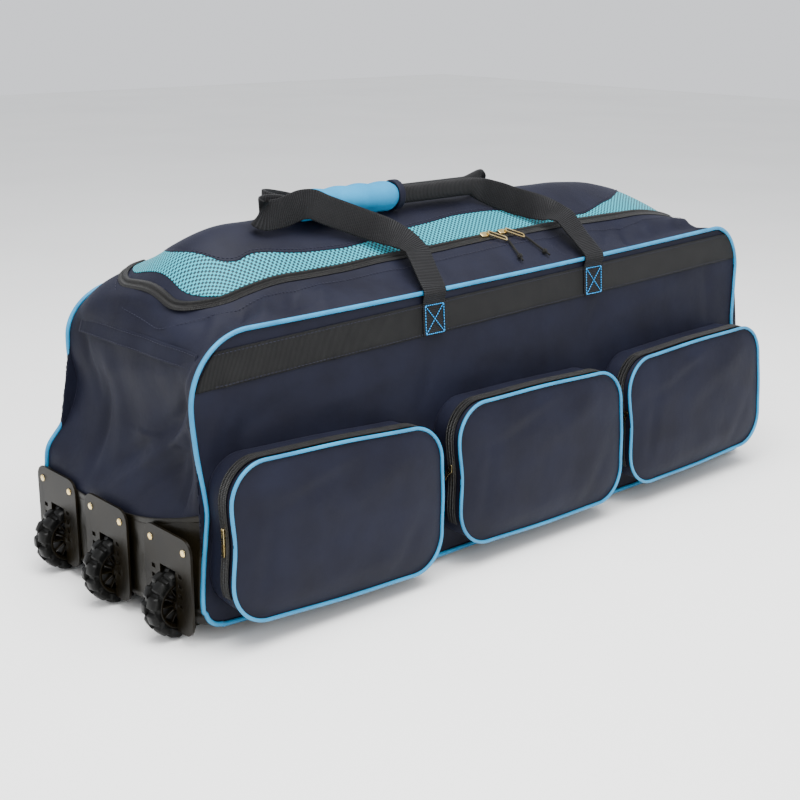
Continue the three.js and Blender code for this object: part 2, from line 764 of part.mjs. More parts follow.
// A pocket's outline about its own centre, from the middle of its far side round over the top. The
// sides pull in between the corners, and the long edges bow out a little.
function pocketOutline(out) {
  const half = { x: pocketWidth / 2 + out, z: pocketHeight / 2 + out };
  const radius = pocketCorner + out;
  const points = [];
  for (let quarter = 0; quarter < 4; quarter += 1) {
    const sx = quarter === 0 || quarter === 3 ? 1 : -1;
    const sz = quarter < 2 ? 1 : -1;
    if (quarter % 2 === 0) points.push([sx * (half.x - pocketPinch), 0]);
    for (const t of spread(3)) {
      const angle = ((quarter + t) * Math.PI) / 2;
      points.push([
        sx * (half.x - radius) + radius * Math.cos(angle),
        sz * (half.z - radius) + radius * Math.sin(angle),
      ]);
    }
    if (quarter % 2 === 0) {
      [0.25, 0, -0.25].forEach((share) => points.push([sx * share * pocketWidth, sz * (half.z + pocketSag)]));
    }
  }
  return points;
}

// A place on a pocket: its own [x, z] turned with it, and a distance in front of the leaning panel
function pocketPlace(row, [x, z], front) {
  const turn = THREE.MathUtils.degToRad(row.turn);
  const middle = bodyLength / 2 + row.along * (pocketWidth + pocketGap);
  const px = middle + x * Math.cos(turn) - z * Math.sin(turn);
  const pz = row.height * panelHeight + x * Math.sin(turn) + z * Math.cos(turn);
  return new THREE.Vector3(px, frontY(pz) - front, pz);
}

// One skin of a pocket's tray, from its open back over the gusset and the crowned face
function pocketSkin(row, inset) {
  const edge = pocketOutline(-inset);
  const rows = [
    { share: 1, front: 2 * fit },
    { share: 1, front: pocketDepth - inset },
    { share: 0.84, front: pocketDepth + pocketBulge * 0.5 - inset },
    { share: 0.5, front: pocketDepth + pocketBulge * 0.92 - inset },
  ];
  return rows.map(({ share, front }) => edge.map(
    ([x, z]) => pocketPlace(row, [x * share, z * share], front),
  ));
}

// A cloth tray open at its back
function pocket(row) {
  const rings = [...pocketSkin(row, pocketWall), ...pocketSkin(row, 0)];
  const count = rings[0].length;
  const points = rings.flat();
  const triangles = [];
  const join = (a, b) => {
    for (let j = 0; j < count; j += 1) {
      const k = (j + 1) % count;
      const [aj, ak, bj, bk] = [a * count + j, a * count + k, b * count + j, b * count + k];
      triangles.push(aj, ak, bk, aj, bk, bj);
    }
  };
  [[3, 2], [2, 1], [1, 0], [0, 4], [4, 5], [5, 6], [6, 7]].forEach(([a, b]) => join(a, b));
  const crown = pocketDepth + pocketBulge;
  points.push(pocketPlace(row, [0, 0], crown - pocketWall), pocketPlace(row, [0, 0], crown));
  for (let j = 0; j < count; j += 1) {
    const k = (j + 1) % count;
    triangles.push(3 * count + k, 3 * count + j, points.length - 2);
    triangles.push(7 * count + j, 7 * count + k, points.length - 1);
  }
  return facedOut(points, triangles);
}

function pocketPiping(row) {
  const stand = pipingStand(pocketPipingRadius);
  const points = pocketOutline(stand).map((p) => pocketPlace(row, p, pocketDepth + stand));
  const widths = points.map(() => new THREE.Vector3(0, 1, 0));
  return sweep(stationsAlong(points, widths, true), () => roundProfile(pocketPipingRadius), true);
}

// The zip tape on a pocket's gusset, over the top and down both sides
function pocketZip(row) {
  const outline = pocketOutline(fit + pocketZipThickness / 2);
  const upper = outline.filter(([, z]) => z >= 0);
  const lower = outline.filter(([x, z]) => z < 0 && Math.abs(x) > pocketWidth / 2 - pocketCorner / 4);
  const path = [...lower.filter(([x]) => x > 0), ...upper, ...lower.filter(([x]) => x < 0)];
  const front = pocketDepth - pocketZipInset - pocketZipWidth / 2;
  const points = path.map((p) => pocketPlace(row, p, front));
  const widths = points.map(() => new THREE.Vector3(0, 1, 0));
  return sweep(stationsAlong(points, widths), () => flatProfile(pocketZipWidth, pocketZipThickness));
}

// A pocket's slider with its pull, lying against the zip on the pocket's near side
function pocketSlider(row) {
  const out = fit + pocketZipThickness + fit;
  const z = (row.slider * pocketHeight) / 2;
  const slope = pocketPinch / (pocketHeight / 2 - pocketCorner);
  const x = pocketPinch - pocketWidth / 2 - out - slope * (Math.abs(z) + pocketPullWidth);
  const place = pocketPlace(row, [x, z], pocketDepth - pocketZipInset - pocketZipWidth / 2);
  const body = solid(prism(roundedShape(-pocketPullWidth / 2, -pocketPullWidth, pocketPullWidth / 2,
    pocketPullWidth, pocketPullWidth / 3), sliderHeight, 1));
  const pull = solid(prism(roundedShape(-pocketPullWidth / 2, -pocketPullLength, pocketPullWidth / 2, 0,
    pocketPullWidth / 3), pullThickness, 1).rotateZ(THREE.MathUtils.degToRad(row.pullTurn))
    .translate(0, 0, sliderHeight - pullThickness));
  const axes = new THREE.Matrix4().makeBasis(
    new THREE.Vector3(0, -1, 0),
    new THREE.Vector3(0, 0, 1),
    new THREE.Vector3(-1, 0, 0),
  ).setPosition(place);
  return geometryOf(body.add(pull)).applyMatrix4(axes);
}

// Handles

// A place over the lid or the gusset's top
function overTop(x, depth, above) {
  const top = topBetween(x, depth);
  const y = mix(frontY(top), backY(top), depth);
  const along = Math.abs(clamp((x / bodyLength) * 2 - 1, -1, 1) ** 5);
  return new THREE.Vector3(x, y, top + Math.max(foldPush(x, top, depth), 0) * (1 - along) + above);
}

function strapX(along) {
  return bodyLength / 2 + along * strapSpacing;
}

// The webbing's section, from flat to rolled up
function strapProfile(rolled) {
  const [w, t] = [strapWidth / 2, strapThickness / 2];
  const flat = [[-w, -t], [0, -t], [w, -t], [w, t], [0, t], [-w, t]];
  return flat.map(([across, through], i) => {
    const round = polar(1, Math.PI + ((i + 0.5) * Math.PI) / 3);
    return [
      mix(across, w * rolledShare * round.x, rolled),
      mix(through, (rolledThickness / 2) * round.y, rolled),
    ];
  });
}

// A handle's foot, from its sewn end on the band up over the panel's piping
function strapFoot(x, front) {
  const side = front ? 1 : -1;
  const panelY = front ? frontY : backY;
  const overBand = 2 * fit + bandThickness + strapThickness / 2 + fit;
  const around = (pipingRadius + 2 * fit + strapThickness / 2) / Math.cos(Math.PI / 8);
  const stand = pipingStand(pipingRadius);
  const top = topBetween(x, front ? 0 : 1);
  const centre = { y: panelY(top) - side * stand, z: top + stand };
  const onBand = [0.02, 0.5, 1].map((up) => {
    const z = bandZ(x, up);
    return new THREE.Vector3(x, panelY(z) - side * overBand, z);
  });
  const overPiping = [-15, 30, 75].map((degrees) => {
    const turn = polar(around, THREE.MathUtils.degToRad(degrees));
    return new THREE.Vector3(x, centre.y - side * turn.x, centre.z + turn.y);
  });
  return [...onBand, ...overPiping];
}

// The wrap's axis at its near end
function wrapAxis() {
  const y = mix(frontY(panelHeight), backY(panelHeight), wrapPlace.depth);
  return new THREE.Vector3(strapX(wrapPlace.along), y, panelHeight + crownRise + wrapRise);
}

// The stretch where a handle runs rolled up through the wrap and on beside the other one
function heldStations(front) {
  const axis = wrapAxis();
  const aside = (front ? -1 : 1) * (rolledThickness / 2 + 2 * fit);
  const along = spread(3, axis.x - bindingLength / 2, strapX(heldEnd));
  return along.map((x) => new THREE.Vector3(x, axis.y + aside, axis.z));
}

function strap(riseRows, fallRows, front) {
  const flatWidth = new THREE.Vector3(1, 0, 0);
  const footOf = (x) => strapFoot(x, front).map((place) => ({ place, width: flatWidth, rolled: 0 }));
  const free = (row) => ({
    place: overTop(strapX(row.along), row.depth, row.above * strapWidth),
    width: new THREE.Vector3(row.wx, row.wy, row.wz),
    rolled: row.rolled,
  });
  const held = heldStations(front).map((place) => ({ place, width: new THREE.Vector3(0, 0, 1), rolled: 1 }));
  const rows = [
    ...footOf(strapX(-0.5)),
    ...riseRows.map(free),
    ...held,
    ...fallRows.map(free),
    ...footOf(strapX(0.5)).reverse(),
  ];
  const stations = stationsAlong(rows.map((row) => row.place), rows.map((row) => row.width));
  return sweep(stations, (i) => strapProfile(rows[i].rolled));
}

// A length of the padded sleeve round both handles
function wrapTube(from, to, radius) {
  const axis = wrapAxis();
  const ring = new THREE.Shape();
  ring.absarc(0, 0, radius, 0, 2 * Math.PI, false);
  ring.holes.push(ringHole(wrapRadius - wrapWall));
  const geometry = new THREE.ExtrudeGeometry(ring, {
    depth: to - from,
    bevelEnabled: false,
    curveSegments: roundSteps,
  });
  return geometry.rotateY(Math.PI / 2).translate(axis.x + from, axis.y, axis.z);
}

// Base and seam, both taken from the skin over the body

// The coated base under the bag, running up the wheel end to a bowed edge
function basePanel() {
  const inset = pipingRadius / 2;
  const reach = 1.5 * endFlare;
  const height = (y) => {
    const away = (y / bodyDepth - baseRise.lowestDepth) / baseRise.lowestDepth;
    return baseRise.lowest + baseRise.extra * away * away;
  };
  const edge = spread(8, 1, 0).map((t) => {
    const y = mix(inset, bodyDepth - inset, t);
    const z = height(y);
    return new THREE.Vector2(mix(frontY(z) + inset, backY(z) - inset, t), z);
  });
  const foot = [new THREE.Vector2(inset, 0), new THREE.Vector2(bodyDepth - inset, 0)];
  const curve = new THREE.Shape([...foot, ...edge]);
  const lip = baseEdge + baseCorner;
  const slab = new THREE.Shape([
    ...foot,
    new THREE.Vector2(backY(lip) - inset, lip),
    new THREE.Vector2(frontY(lip) + inset, lip),
  ]);
  const upEnd = acrossEnd(curve, -reach, nearCorner / 4);
  const underneath = acrossEnd(slab, -reach, bodyLength + 2 * farFlare);
  return skin(fit, fit + baseSheet).intersect(upEnd.add(underneath));
}

// The strip sewn across the wheel end
function endSeam() {
  const z = seamHeight * panelHeight;
  const inset = panelLean + 3 * pipingRadius;
  const cut = box(-endFlare, inset, z - seamWidth / 2, nearCorner / 3, bodyDepth - inset, z + seamWidth / 2);
  return skin(fit, fit + seamThickness).intersect(cut);
}

// The grab handle sewn across the far end
function endHandle() {
  const z = panelHeight * endHandleHeight;
  const points = spread(8, 0.26, 0.74).map((depth) => {
    const rise = Math.sin(Math.PI * clamp((depth - 0.31) / 0.38, 0, 1)) ** 0.6;
    const stand = 2 * fit + strapThickness / 2 + endHandleReach * rise;
    return new THREE.Vector3(farX(z, depth) + stand, depth * bodyDepth, z);
  });
  const widths = points.map(() => new THREE.Vector3(0, 0, 1));
  return sweep(stationsAlong(points, widths), () => flatProfile(endHandleWidth, strapThickness));
}

// Sliders, pulls and cords

const zipDepth = (lidInset.front + zipWidth / 2) / (bodyDepth - 2 * panelLean);

// The frame of a point on the slope by the zip: along the zip, up the slope and out of the cloth
function slopeFrame(x, depth, above) {
  const along = new THREE.Vector3(1, 0, 0);
  const up = overTop(x, depth + 0.04, 0).sub(overTop(x, depth - 0.04, 0)).normalize();
  const out = new THREE.Vector3().crossVectors(along, up);
  return new THREE.Matrix4().makeBasis(along, up, out)
    .setPosition(overTop(x, depth, 0).addScaledVector(out, above));
}

function zipSlider(row) {
  const half = { x: sliderLength / 2, y: sliderWidth / 2 };
  const outline = roundedShape(-half.x, -half.y, half.x, half.y, sliderWidth / 3);
  const above = zipThickness - clothWall + 2 * fit;
  return prism(outline, sliderHeight).applyMatrix4(slopeFrame(strapX(row.along), zipDepth, above));
}

function pullFrame(row) {
  const above = zipThickness - clothWall + sliderHeight + 4 * fit;
  const x = strapX(row.along) + sliderLength / 4;
  return slopeFrame(x, zipDepth, above)
    .multiply(new THREE.Matrix4().makeRotationZ(THREE.MathUtils.degToRad(row.turn)))
    .multiply(new THREE.Matrix4().makeRotationX(THREE.MathUtils.degToRad(pullTilt)));
}

// A pull is a flat frame with a slot through it, hanging from its slider
function zipPull(row) {
  const half = pullWidth / 2;
  const inner = half - pullRim;
  const shape = roundedShape(-half, -pullLength, half, 0, pullWidth / 3);
  shape.holes.push(roundedShape(-inner, -pullLength + pullRim, inner, -pullRim, pullRim / 2));
  return prism(shape, pullThickness).applyMatrix4(pullFrame(row));
}

function knotCentre(row) {
  const above = (knotRadius + 2 * fit) / Math.cos(Math.PI / 6);
  return overTop(strapX(row.knotAlong), row.knotDepth, above);
}

// The cord from a pull's end to its knot
function pullCord(row) {
  const knot = knotCentre(row);
  const start = new THREE.Vector3(0, -pullLength - cordRadius, pullThickness / 2);
  start.applyMatrix4(pullFrame(row));
  const end = knot.clone().add(start.clone().sub(knot).setLength(knotRadius + fit));
  const points = spread(4).map((t) => start.clone().lerp(end, t));
  const widths = points.map(() => new THREE.Vector3(1, 0, 0));
  return sweep(stationsAlong(points, widths), () => roundProfile(cordRadius, cordSides));
}

function pullKnot(row) {
  const centre = knotCentre(row);
  const ball = new THREE.SphereGeometry(knotRadius, roundSteps, roundSteps - 2);
  return ball.translate(centre.x, centre.y, centre.z);
}

// The bag

const bag = new THREE.Group();

function add(name, geometry, material) {
  geometry.computeVertexNormals();
  const mesh = new THREE.Mesh(geometry, material);
  mesh.name = name;
  bag.add(mesh);
}

// Body, lid, zip and base
const wells = wheels.map(wellHole);
const cutWells = (body) => wells.reduce((rest, well) => rest.subtract(well), body);
const closedCloth = skin(-clothWall, 0);
const lid = closedCloth.intersect(lidPrism(zipWidth, seamGap));
const zipLoop = skin(-clothWall, zipThickness - clothWall).intersect(lidPrism(fit, fit));
add('body_shell', geometryOf(cutWells(closedCloth.subtract(lidPrism(0, 0)))), navy);
add('lid_panel', geometryOf(lid.intersect(navyPrism(fit))), navy);
add('mesh_panel', geometryOf(lid.subtract(navyPrism(0))), airMesh);
add('main_zip', geometryOf(zipLoop.subtract(lidPrism(zipWidth - fit, seamGap - 2 * fit))), zipBlack);
add('base_panel', geometryOf(cutWells(basePanel())), coatedCloth);
add('end_seam', geometryOf(endSeam()), navy);
add('end_handle', endHandle(), lightBlue);

// Piping, webbing and handles
add('piping_front', panelPiping(0), lightBlue);
add('piping_back', panelPiping(1), lightBlue);
add('webbing_band_front', webbingBand(true), webbing);
add('webbing_band_back', webbingBand(false), webbing);
add('strap_front', strap(frontRiseRows, frontFallRows, true), webbing);
add('strap_back', strap(backRiseRows, backFallRows, false), webbing);
add('handle_wrap', wrapTube(0, wrapLength - bindingLength - fit, wrapRadius), lightBlue);
add('wrap_binding', wrapTube(wrapLength - bindingLength, wrapLength, wrapRadius - bindingStep), navy);

// Pockets
pocketRows.forEach((row, i) => {
  add(`pocket_${i + 1}`, pocket(row), navy);
  add(`pocket_piping_${i + 1}`, pocketPiping(row), lightBlue);
  add(`pocket_zip_${i + 1}`, pocketZip(row), zipBlack);
  add(`pocket_slider_${i + 1}`, pocketSlider(row), brass);
});

// The main zip's sliders, pulls and cords
pullRows.forEach((row) => {
  add(`zip_slider_${row.name}`, zipSlider(row), brass);
  add(`zip_pull_${row.name}`, zipPull(row), brass);
  add(`pull_cord_${row.name}`, pullCord(row), zipBlack);
  add(`pull_knot_${row.name}`, pullKnot(row), zipBlack);
});

// Wheels
wheels.forEach((wheel) => {
  add(`wheel_housing_${wheel.name}`, geometryOf(housing(wheel)), mouldedBlack);
  add(`axle_${wheel.name}`, axle(wheel), steel);
  add(`hub_${wheel.name}`, hub(wheel), mouldedBlack);
  add(`tyre_${wheel.name}`, tyre(wheel), rubber);
  add(`rivet_${2 * wheel.name - 1}`, rivet(wheel, -1), brass);
  add(`rivet_${2 * wheel.name}`, rivet(wheel, 1), brass);
});

// The origin is the middle of the bag's outline, on the floor.
const extent = new THREE.Box3().setFromObject(bag);
bag.position.set(-(extent.min.x + extent.max.x) / 2, -(extent.min.y + extent.max.y) / 2, 0);

const group = new THREE.Group();
group.add(bag);
export default group;
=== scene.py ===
"""Cricket kit bag on three wheels: the looks of its cloth, webbing, zips, mouldings and metal.

Laid out as a Blender add-on. Lengths are in millimetres in the bag's drawing frame, where X = 0 and
Y = 0 lie at the front panel's foot by the wheel end, until a mesh is made in metres.
"""

import math

import bmesh
import bpy
import numpy as np
from mathutils import Matrix, Vector


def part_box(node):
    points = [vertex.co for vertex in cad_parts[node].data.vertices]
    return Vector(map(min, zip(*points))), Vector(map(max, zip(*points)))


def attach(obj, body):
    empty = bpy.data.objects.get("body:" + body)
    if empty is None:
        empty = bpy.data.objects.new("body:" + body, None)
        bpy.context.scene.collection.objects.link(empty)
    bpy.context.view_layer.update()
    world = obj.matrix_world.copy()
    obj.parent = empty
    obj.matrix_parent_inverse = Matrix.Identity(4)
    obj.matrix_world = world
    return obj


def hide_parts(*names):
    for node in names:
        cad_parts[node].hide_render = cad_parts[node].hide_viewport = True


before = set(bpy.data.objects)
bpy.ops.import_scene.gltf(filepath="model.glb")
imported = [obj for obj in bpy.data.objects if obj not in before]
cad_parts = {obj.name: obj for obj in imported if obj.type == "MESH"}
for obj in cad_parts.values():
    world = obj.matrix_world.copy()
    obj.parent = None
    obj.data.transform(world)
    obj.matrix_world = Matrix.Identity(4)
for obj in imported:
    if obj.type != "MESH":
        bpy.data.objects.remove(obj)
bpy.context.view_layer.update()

bl_info = {
    "name": "Cricket Kit Bag",
    "version": (1, 0, 0),
    "blender": (4, 5, 0),
    "location": "View3D > Sidebar > Kit Bag",
    "description": "Builds a wheeled cricket kit bag, piece by piece",
    "category": "Object",
}

# The main form, the same as the part's
LENGTH = 896.0
DEPTH = 322.0
PANEL = 325.0
FAR_RISE = 17.0
LEAN = 24.0
CROWN = 82.0
WALL = 2.5
FIT = 0.3
CORNER = 18.0
FOOT = 8.0
END_LIFT = 12.0
LIFT_RUN = 330.0
END_FLARE = 42.0
FAR_FLARE = 30.0
NEAR_RUN = 165.0
FAR_RUN = 250.0
ZIP_WIDTH = 18.0
LID = {"near": 16.0, "far": 19.0, "front": 53.0, "back": 36.0, "corner": 58.0}
BASE_SHEET = 2.0
BAND = {"width": 38.0, "thickness": 1.6, "foot": 270.0, "climb": 24.0}
STRAP = {"width": 34.0, "thickness": 2.4, "spacing": 281.0, "rolled": 9.5, "share": 0.65}
WRAP = {"length": 155.0, "radius": 19.0, "rise": 15.0, "binding": 9.0, "along": -0.875, "depth": 0.4255}
POCKET = {
    "width": 288.0, "height": 168.0, "depth": 46.0, "corner": 42.0, "bulge": 9.0, "pinch": 6.0,
    "sag": 1.5, "zip": 13.0, "zip_inset": 9.0, "wall": 1.6, "piping": 2.1, "stand": 1.5,
}
PIPING = {"solid": 3.0, "stand": 1.4}
GRAB = {"height": 0.76, "width": 25.0, "stand": 1.8, "bow": 12.0, "sewn": 2.4, "padding": 2.6}
WHEEL = {"radius": 39.0, "width": 24.0, "pitch": 117.5, "reach": 38.0, "bow": 4.0, "hub": 27.0, "axle": 3.0}
PULL = {
    "slider": 14.0, "height": 4.0, "length": 28.0, "thickness": 1.8, "tilt": 5.0, "cord": 1.4, "knot": 3.6,
    "stand": 2.6,
}
WELL = {"radius": 46.1, "half": 17.7}
VENT = (4.0, 6.5, 4.5)
TREAD = {"lugs": 12, "depth": 4.0, "groove": 1.35, "crown": 2.4, "wall": 1.6}
BASE_EDGE = {"low": 107.0, "bow": 31.0, "lowest": 0.64, "inset": 1.5, "far_lip": 28.0}
SEAM = {"height": 0.9, "width": 20.0, "thickness": 1.4, "rows": 7.5}

# The drawing frame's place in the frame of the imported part, from the first hub's centre
hub_low, hub_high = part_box("hub_1")
SHIFT = np.array([
    500.0 * (hub_low.x + hub_high.x) + WHEEL["reach"],
    500.0 * (hub_low.y + hub_high.y) - (DEPTH / 2 - WHEEL["pitch"]),
    0.0,
])


def named(columns, *rows):
    """A table with named columns, as a dict of arrays."""
    return dict(zip(columns.split(), np.array(rows, float).T))


# Heights up the ends as shares of the panel height, and how far the cloth stands out there
WHEEL_END = named(
    "height front middle back",
    (0.04, 0.66, 1.0, 0.8),
    (0.14, 0.74, 1.0, 0.88),
    (0.26, 0.64, 1.0, 0.9),
    (0.37, 0.5, 0.96, 0.9),
    (0.44, 0.42, 0.66, 0.82),
    (0.51, 0.46, 0.34, 0.4),
    (0.59, 0.54, 0.12, 0.08),
    (0.67, 0.6, 0.0, -0.04),
    (0.78, 0.63, 0.06, 0.12),
    (0.9, 0.52, 0.03, 0.14),
)
FAR_END = named(
    "height front middle back",
    (0.04, 1.0, 0.95, 1.0),
    (0.2, 0.82, 0.85, 0.85),
    (0.42, 0.3, 0.35, 0.35),
    (0.62, 0.0, 0.05, 0.05),
    (0.76, 0.12, 0.05, 0.1),
    (0.9, 0.28, 0.0, 0.25),
)
SECTIONS = named(
    "depth rise near_run near_shoulder far_run far_shoulder",
    (0.0, 0.0, 0.45, 0.77, 0.2, 0.87),
    (0.12, 0.26, 0.78, 0.82, 0.5, 0.89),
    (0.23, 0.48, 0.98, 0.86, 0.8, 0.91),
    (0.5, 1.0, 0.86, 0.86, 1.0, 0.92),
    (0.77, 0.56, 0.64, 0.94, 0.8, 0.91),
    (0.88, 0.36, 0.54, 0.93, 0.5, 0.89),
    (1.0, 0.04, 0.42, 0.84, 0.2, 0.87),
)
FOLD_SIZE = 9.0
FOLDS = named(
    "along height depth spread push",
    (0.02, 0.5, 0.2, 0.12, -1.0),
    (0.0, 0.62, 0.42, 0.1, 0.6),
    (0.06, 1.0, 0.14, 0.1, -0.5),
    (0.36, 1.08, 0.12, 0.09, -0.2),
    (0.78, 1.1, 0.13, 0.09, -0.7),
)

# Creases, each a soft ridge or valley along a line: its middle, turn in degrees, half length, half
# width and height in millimetres. On the ends they lie in Y and Z, on the panels in X and Z, and on
# the top in X and Y.
END_CREASES = named(
    "u v turn length width height",
    (112, 205, -37, 95, 8, -5.0),
    (99, 189, -37, 84, 6, 4.4),
    (78, 178, -48, 52, 6, -2.8),
    (52, 165, 86, 46, 6, -4.2),
    (34, 198, 80, 62, 6, 3.4),
    (70, 238, -58, 50, 7, -3.4),
    (46, 268, -64, 40, 6, 2.6),
    (150, 262, -10, 80, 12, 1.8),
    (205, 215, 70, 60, 14, 2.4),
    (228, 182, 84, 60, 9, -3.6),
    (190, 140, -30, 60, 12, -2.0),
    (262, 250, 70, 44, 8, -3.0),
    (100, 330, 10, 70, 6, -2.6),
    (170, 338, -6, 60, 6, 2.4),
    (130, 312, 16, 60, 5, -1.8),
)
FRONT_CREASES = named(
    "u v turn length width height",
    (30, 190, 80, 60, 11, -2.0),
    (4, 240, 66, 46, 9, 1.6),
    (70, 236, 24, 60, 13, -1.6),
    (210, 236, 8, 90, 12, 1.4),
    (300, 232, 70, 34, 10, -1.6),
    (440, 240, -6, 90, 14, 1.2),
    (590, 250, 60, 34, 10, -1.6),
    (700, 262, 10, 90, 14, 1.4),
    (840, 250, 96, 44, 12, -1.6),
)
TOP_CREASES = named(
    "u v turn length width height",
    (62, 60, 55, 46, 9, -5.0),
    (92, 54, 60, 42, 8, 3.4),
    (34, 68, 40, 42, 7, 3.0),
    (128, 50, 52, 38, 9, -4.0),
    (165, 44, 60, 36, 9, 2.6),
    (300, 50, 75, 26, 12, -2.8),
    (345, 48, 75, 26, 12, 2.2),
    (560, 50, 100, 26, 9, -3.4),
    (610, 52, 80, 26, 8, 3.4),
    (650, 56, 40, 40, 7, -3.6),
    (690, 52, 60, 42, 8, -5.4),
    (770, 42, 3, 110, 13, -7.0),
    (745, 58, 66, 34, 7, 4.4),
    (800, 56, 24, 46, 7, 3.4),
    (835, 66, 70, 32, 7, 4.6),
    (60, 290, 120, 40, 9, -2.4),
    (800, 290, 60, 40, 11, -2.4),
)
TOP_SAGS = named(
    "u v turn length width height",
    (20, 175, 90, 80, 40, -8.0),
    (150, 78, 4, 120, 34, -8.0),
    (330, 76, 2, 90, 30, -3.0),
)
POCKET_CREASES = named(
    "u v turn length width height",
    (-62, 44, 14, 60, 11, -1.8),
    (-40, 56, 18, 66, 9, 1.6),
    (40, 36, 20, 60, 14, 1.2),
    (-104, -10, 80, 42, 10, -1.4),
    (90, -48, 55, 40, 12, -1.2),
    (0, -60, 4, 80, 12, 0.9),
)

# The navy centre of the lid: shares of the lid's length and of its half depth
NAVY_EDGE = named(
    "along aside",
    (0.03, 0.0), (0.034, 0.2), (0.046, 0.44), (0.062, 0.66), (0.082, 0.755), (0.11, 0.74), (0.163, 0.81),
    (0.231, 0.85), (0.288, 0.85), (0.355, 0.79), (0.42, 0.725), (0.49, 0.672), (0.55, 0.672), (0.6, 0.71),
    (0.64, 0.79), (0.665, 0.91), (0.69, 0.985), (0.75, 0.985), (0.782, 0.93), (0.82, 0.83), (0.86, 0.7),
    (0.915, 0.38), (0.925, 0.2), (0.928, 0.0),
)

POCKETS = (
    {"along": 0.139, "height": 0.345, "turn": -3.0},
    {"along": 0.497, "height": 0.352, "turn": -1.0},
    {"along": 0.843, "height": 0.368, "turn": 1.5},
)

# The handles' free stretches, as in the part: along in strap spacings, depth from the front, height
# over the lid in strap widths, rolled share and the width's direction
FRONT_RISE = named(
    "along depth above rolled wx wy wz",
    (-0.475, 0.07, 0.45, 0, 1, 0, 0),
    (-0.455, 0.135, 0.58, 0, 1, 0, 0.1),
    (-0.47, 0.19, 0.6, 0, 0.95, 0, 0.3),
    (-0.51, 0.24, 0.6, 0, 0.8, 0, 0.55),
    (-0.6, 0.29, 0.64, 0, 0.5, 0, 0.85),
    (-0.7, 0.322, 0.8, 0, 0.42, 0, 0.9),
    (-0.79, 0.335, 1.02, 0, 0.42, 0, 0.9),
    (-0.85, 0.338, 1.24, 0, 0.45, 0, 0.85),
    (-0.9, 0.35, 1.16, 0, 0.4, 0, 0.9),
    (-0.98, 0.362, 0.88, 0, 0.3, 0, 1),
    (-1.06, 0.37, 0.78, 0, 0.3, 0, 1),
    (-1.085, 0.385, 0.84, 0, 0.1, 0, 1),
    (-1.04, 0.4, 0.82, 0.1, 0.1, 0, 1),
    (-0.965, 0.405, 0.8, 0.5, 0, 0, 1),
)
FRONT_FALL = named(
    "along depth above rolled wx wy wz",
    (0.17, 0.385, 0.62, 0.3, 0, 0, 1),
    (0.24, 0.345, 0.6, 0, 0, 0, 1),
    (0.31, 0.305, 0.58, 0, 0.1, 0, 1),
    (0.385, 0.26, 0.62, 0, 0.4, 0, 0.8),
    (0.44, 0.205, 0.72, 0, 0.8, 0, 0.5),
    (0.465, 0.135, 0.86, 0, 0.95, 0, 0.2),
    (0.49, 0.07, 0.5, 0, 1, 0, 0),
)
BACK_RISE = named(
    "along depth above rolled wx wy wz",
    (-0.475, 0.93, 0.34, 0, 1, 0, 0),
    (-0.47, 0.87, 0.4, 0, 1, 0, 0.1),
    (-0.5, 0.8, 0.5, 0, 0.9, 0, 0.4),
    (-0.58, 0.73, 0.56, 0, 0.6, 0, 0.8),
    (-0.7, 0.67, 0.58, 0, 0.42, 0, 0.9),
    (-0.82, 0.62, 0.58, 0, 0.3, 0, 0.95),
    (-0.91, 0.58, 0.58, 0, 0.1, 0, 1),
    (-0.965, 0.53, 0.56, 0.2, 0, 0, 1),
    (-0.96, 0.48, 0.54, 0.5, 0, 0, 1),
)
BACK_FALL = named(
    "along depth above rolled wx wy wz",
    (0.18, 0.455, 0.56, 0.6, 0, 0, 1),
    (0.225, 0.48, 0.53, 0.2, 0.35, -0.15, 0.9),
    (0.27, 0.54, 0.38, 0, 0.75, -0.4, 0.5),
    (0.33, 0.64, 0.26, 0, 0.85, -0.4, 0.2),
    (0.39, 0.73, 0.24, 0, 0.93, -0.3, 0),
    (0.45, 0.8, 0.26, 0, 1, -0.1, 0),
    (0.475, 0.87, 0.3, 0, 1, 0, 0),
    (0.48, 0.93, 0.32, 0, 1, 0, 0),
)
HELD_END = 0.11
PULLS = (
    {"name": "left", "along": 0.03, "turn": 58.0, "knot_along": 0.1, "knot_depth": 0.066},
    {"name": "right", "along": 0.142, "turn": 58.0, "knot_along": 0.262, "knot_depth": 0.066},
)

# The studio's lights: name, place and side, in metres
SOFTBOXES = (
    ("top_softbox", (-0.3, -0.5, 2.1), 1.9),
    ("front_softbox", (-0.9, -2.1, 1.1), 1.3),
    ("end_softbox", (-2.2, 0.1, 1.0), 1.2),
)

# The camera of the photograph, in the drawing frame
CAMERA = {
    "azimuth": -42.11, "elevation": 16.93, "roll": 0.466, "lens": 60.99,
    "place": (-742.87, -1086.36, 662.4),
}


# Curves and tables

def mix(a, b, share):
    """The value a share of the way from a to b."""
    return a + (b - a) * share


def read_table(table, key, column, at):
    """One column of a table as a smooth curve: a cubic between each two rows, whose slope at a row is that
    of the line between its neighbours."""
    keys, values = table[key], table[column]
    last = len(keys) - 1
    rows = np.arange(last + 1)
    before, after = np.maximum(rows - 1, 0), np.minimum(rows + 1, last)
    slope = (values[after] - values[before]) / (keys[after] - keys[before])
    at = np.clip(at, keys[0], keys[-1])
    i = np.clip(np.searchsorted(keys, at, side="right") - 1, 0, last - 1)
    width = keys[i + 1] - keys[i]
    t = (at - keys[i]) / width
    bend = (3 - 2 * t) * t * t
    swing = width * (slope[i] * t * (1 - t) ** 2 - slope[i + 1] * t * t * (1 - t))
    return mix(values[i], values[i + 1], bend) + swing


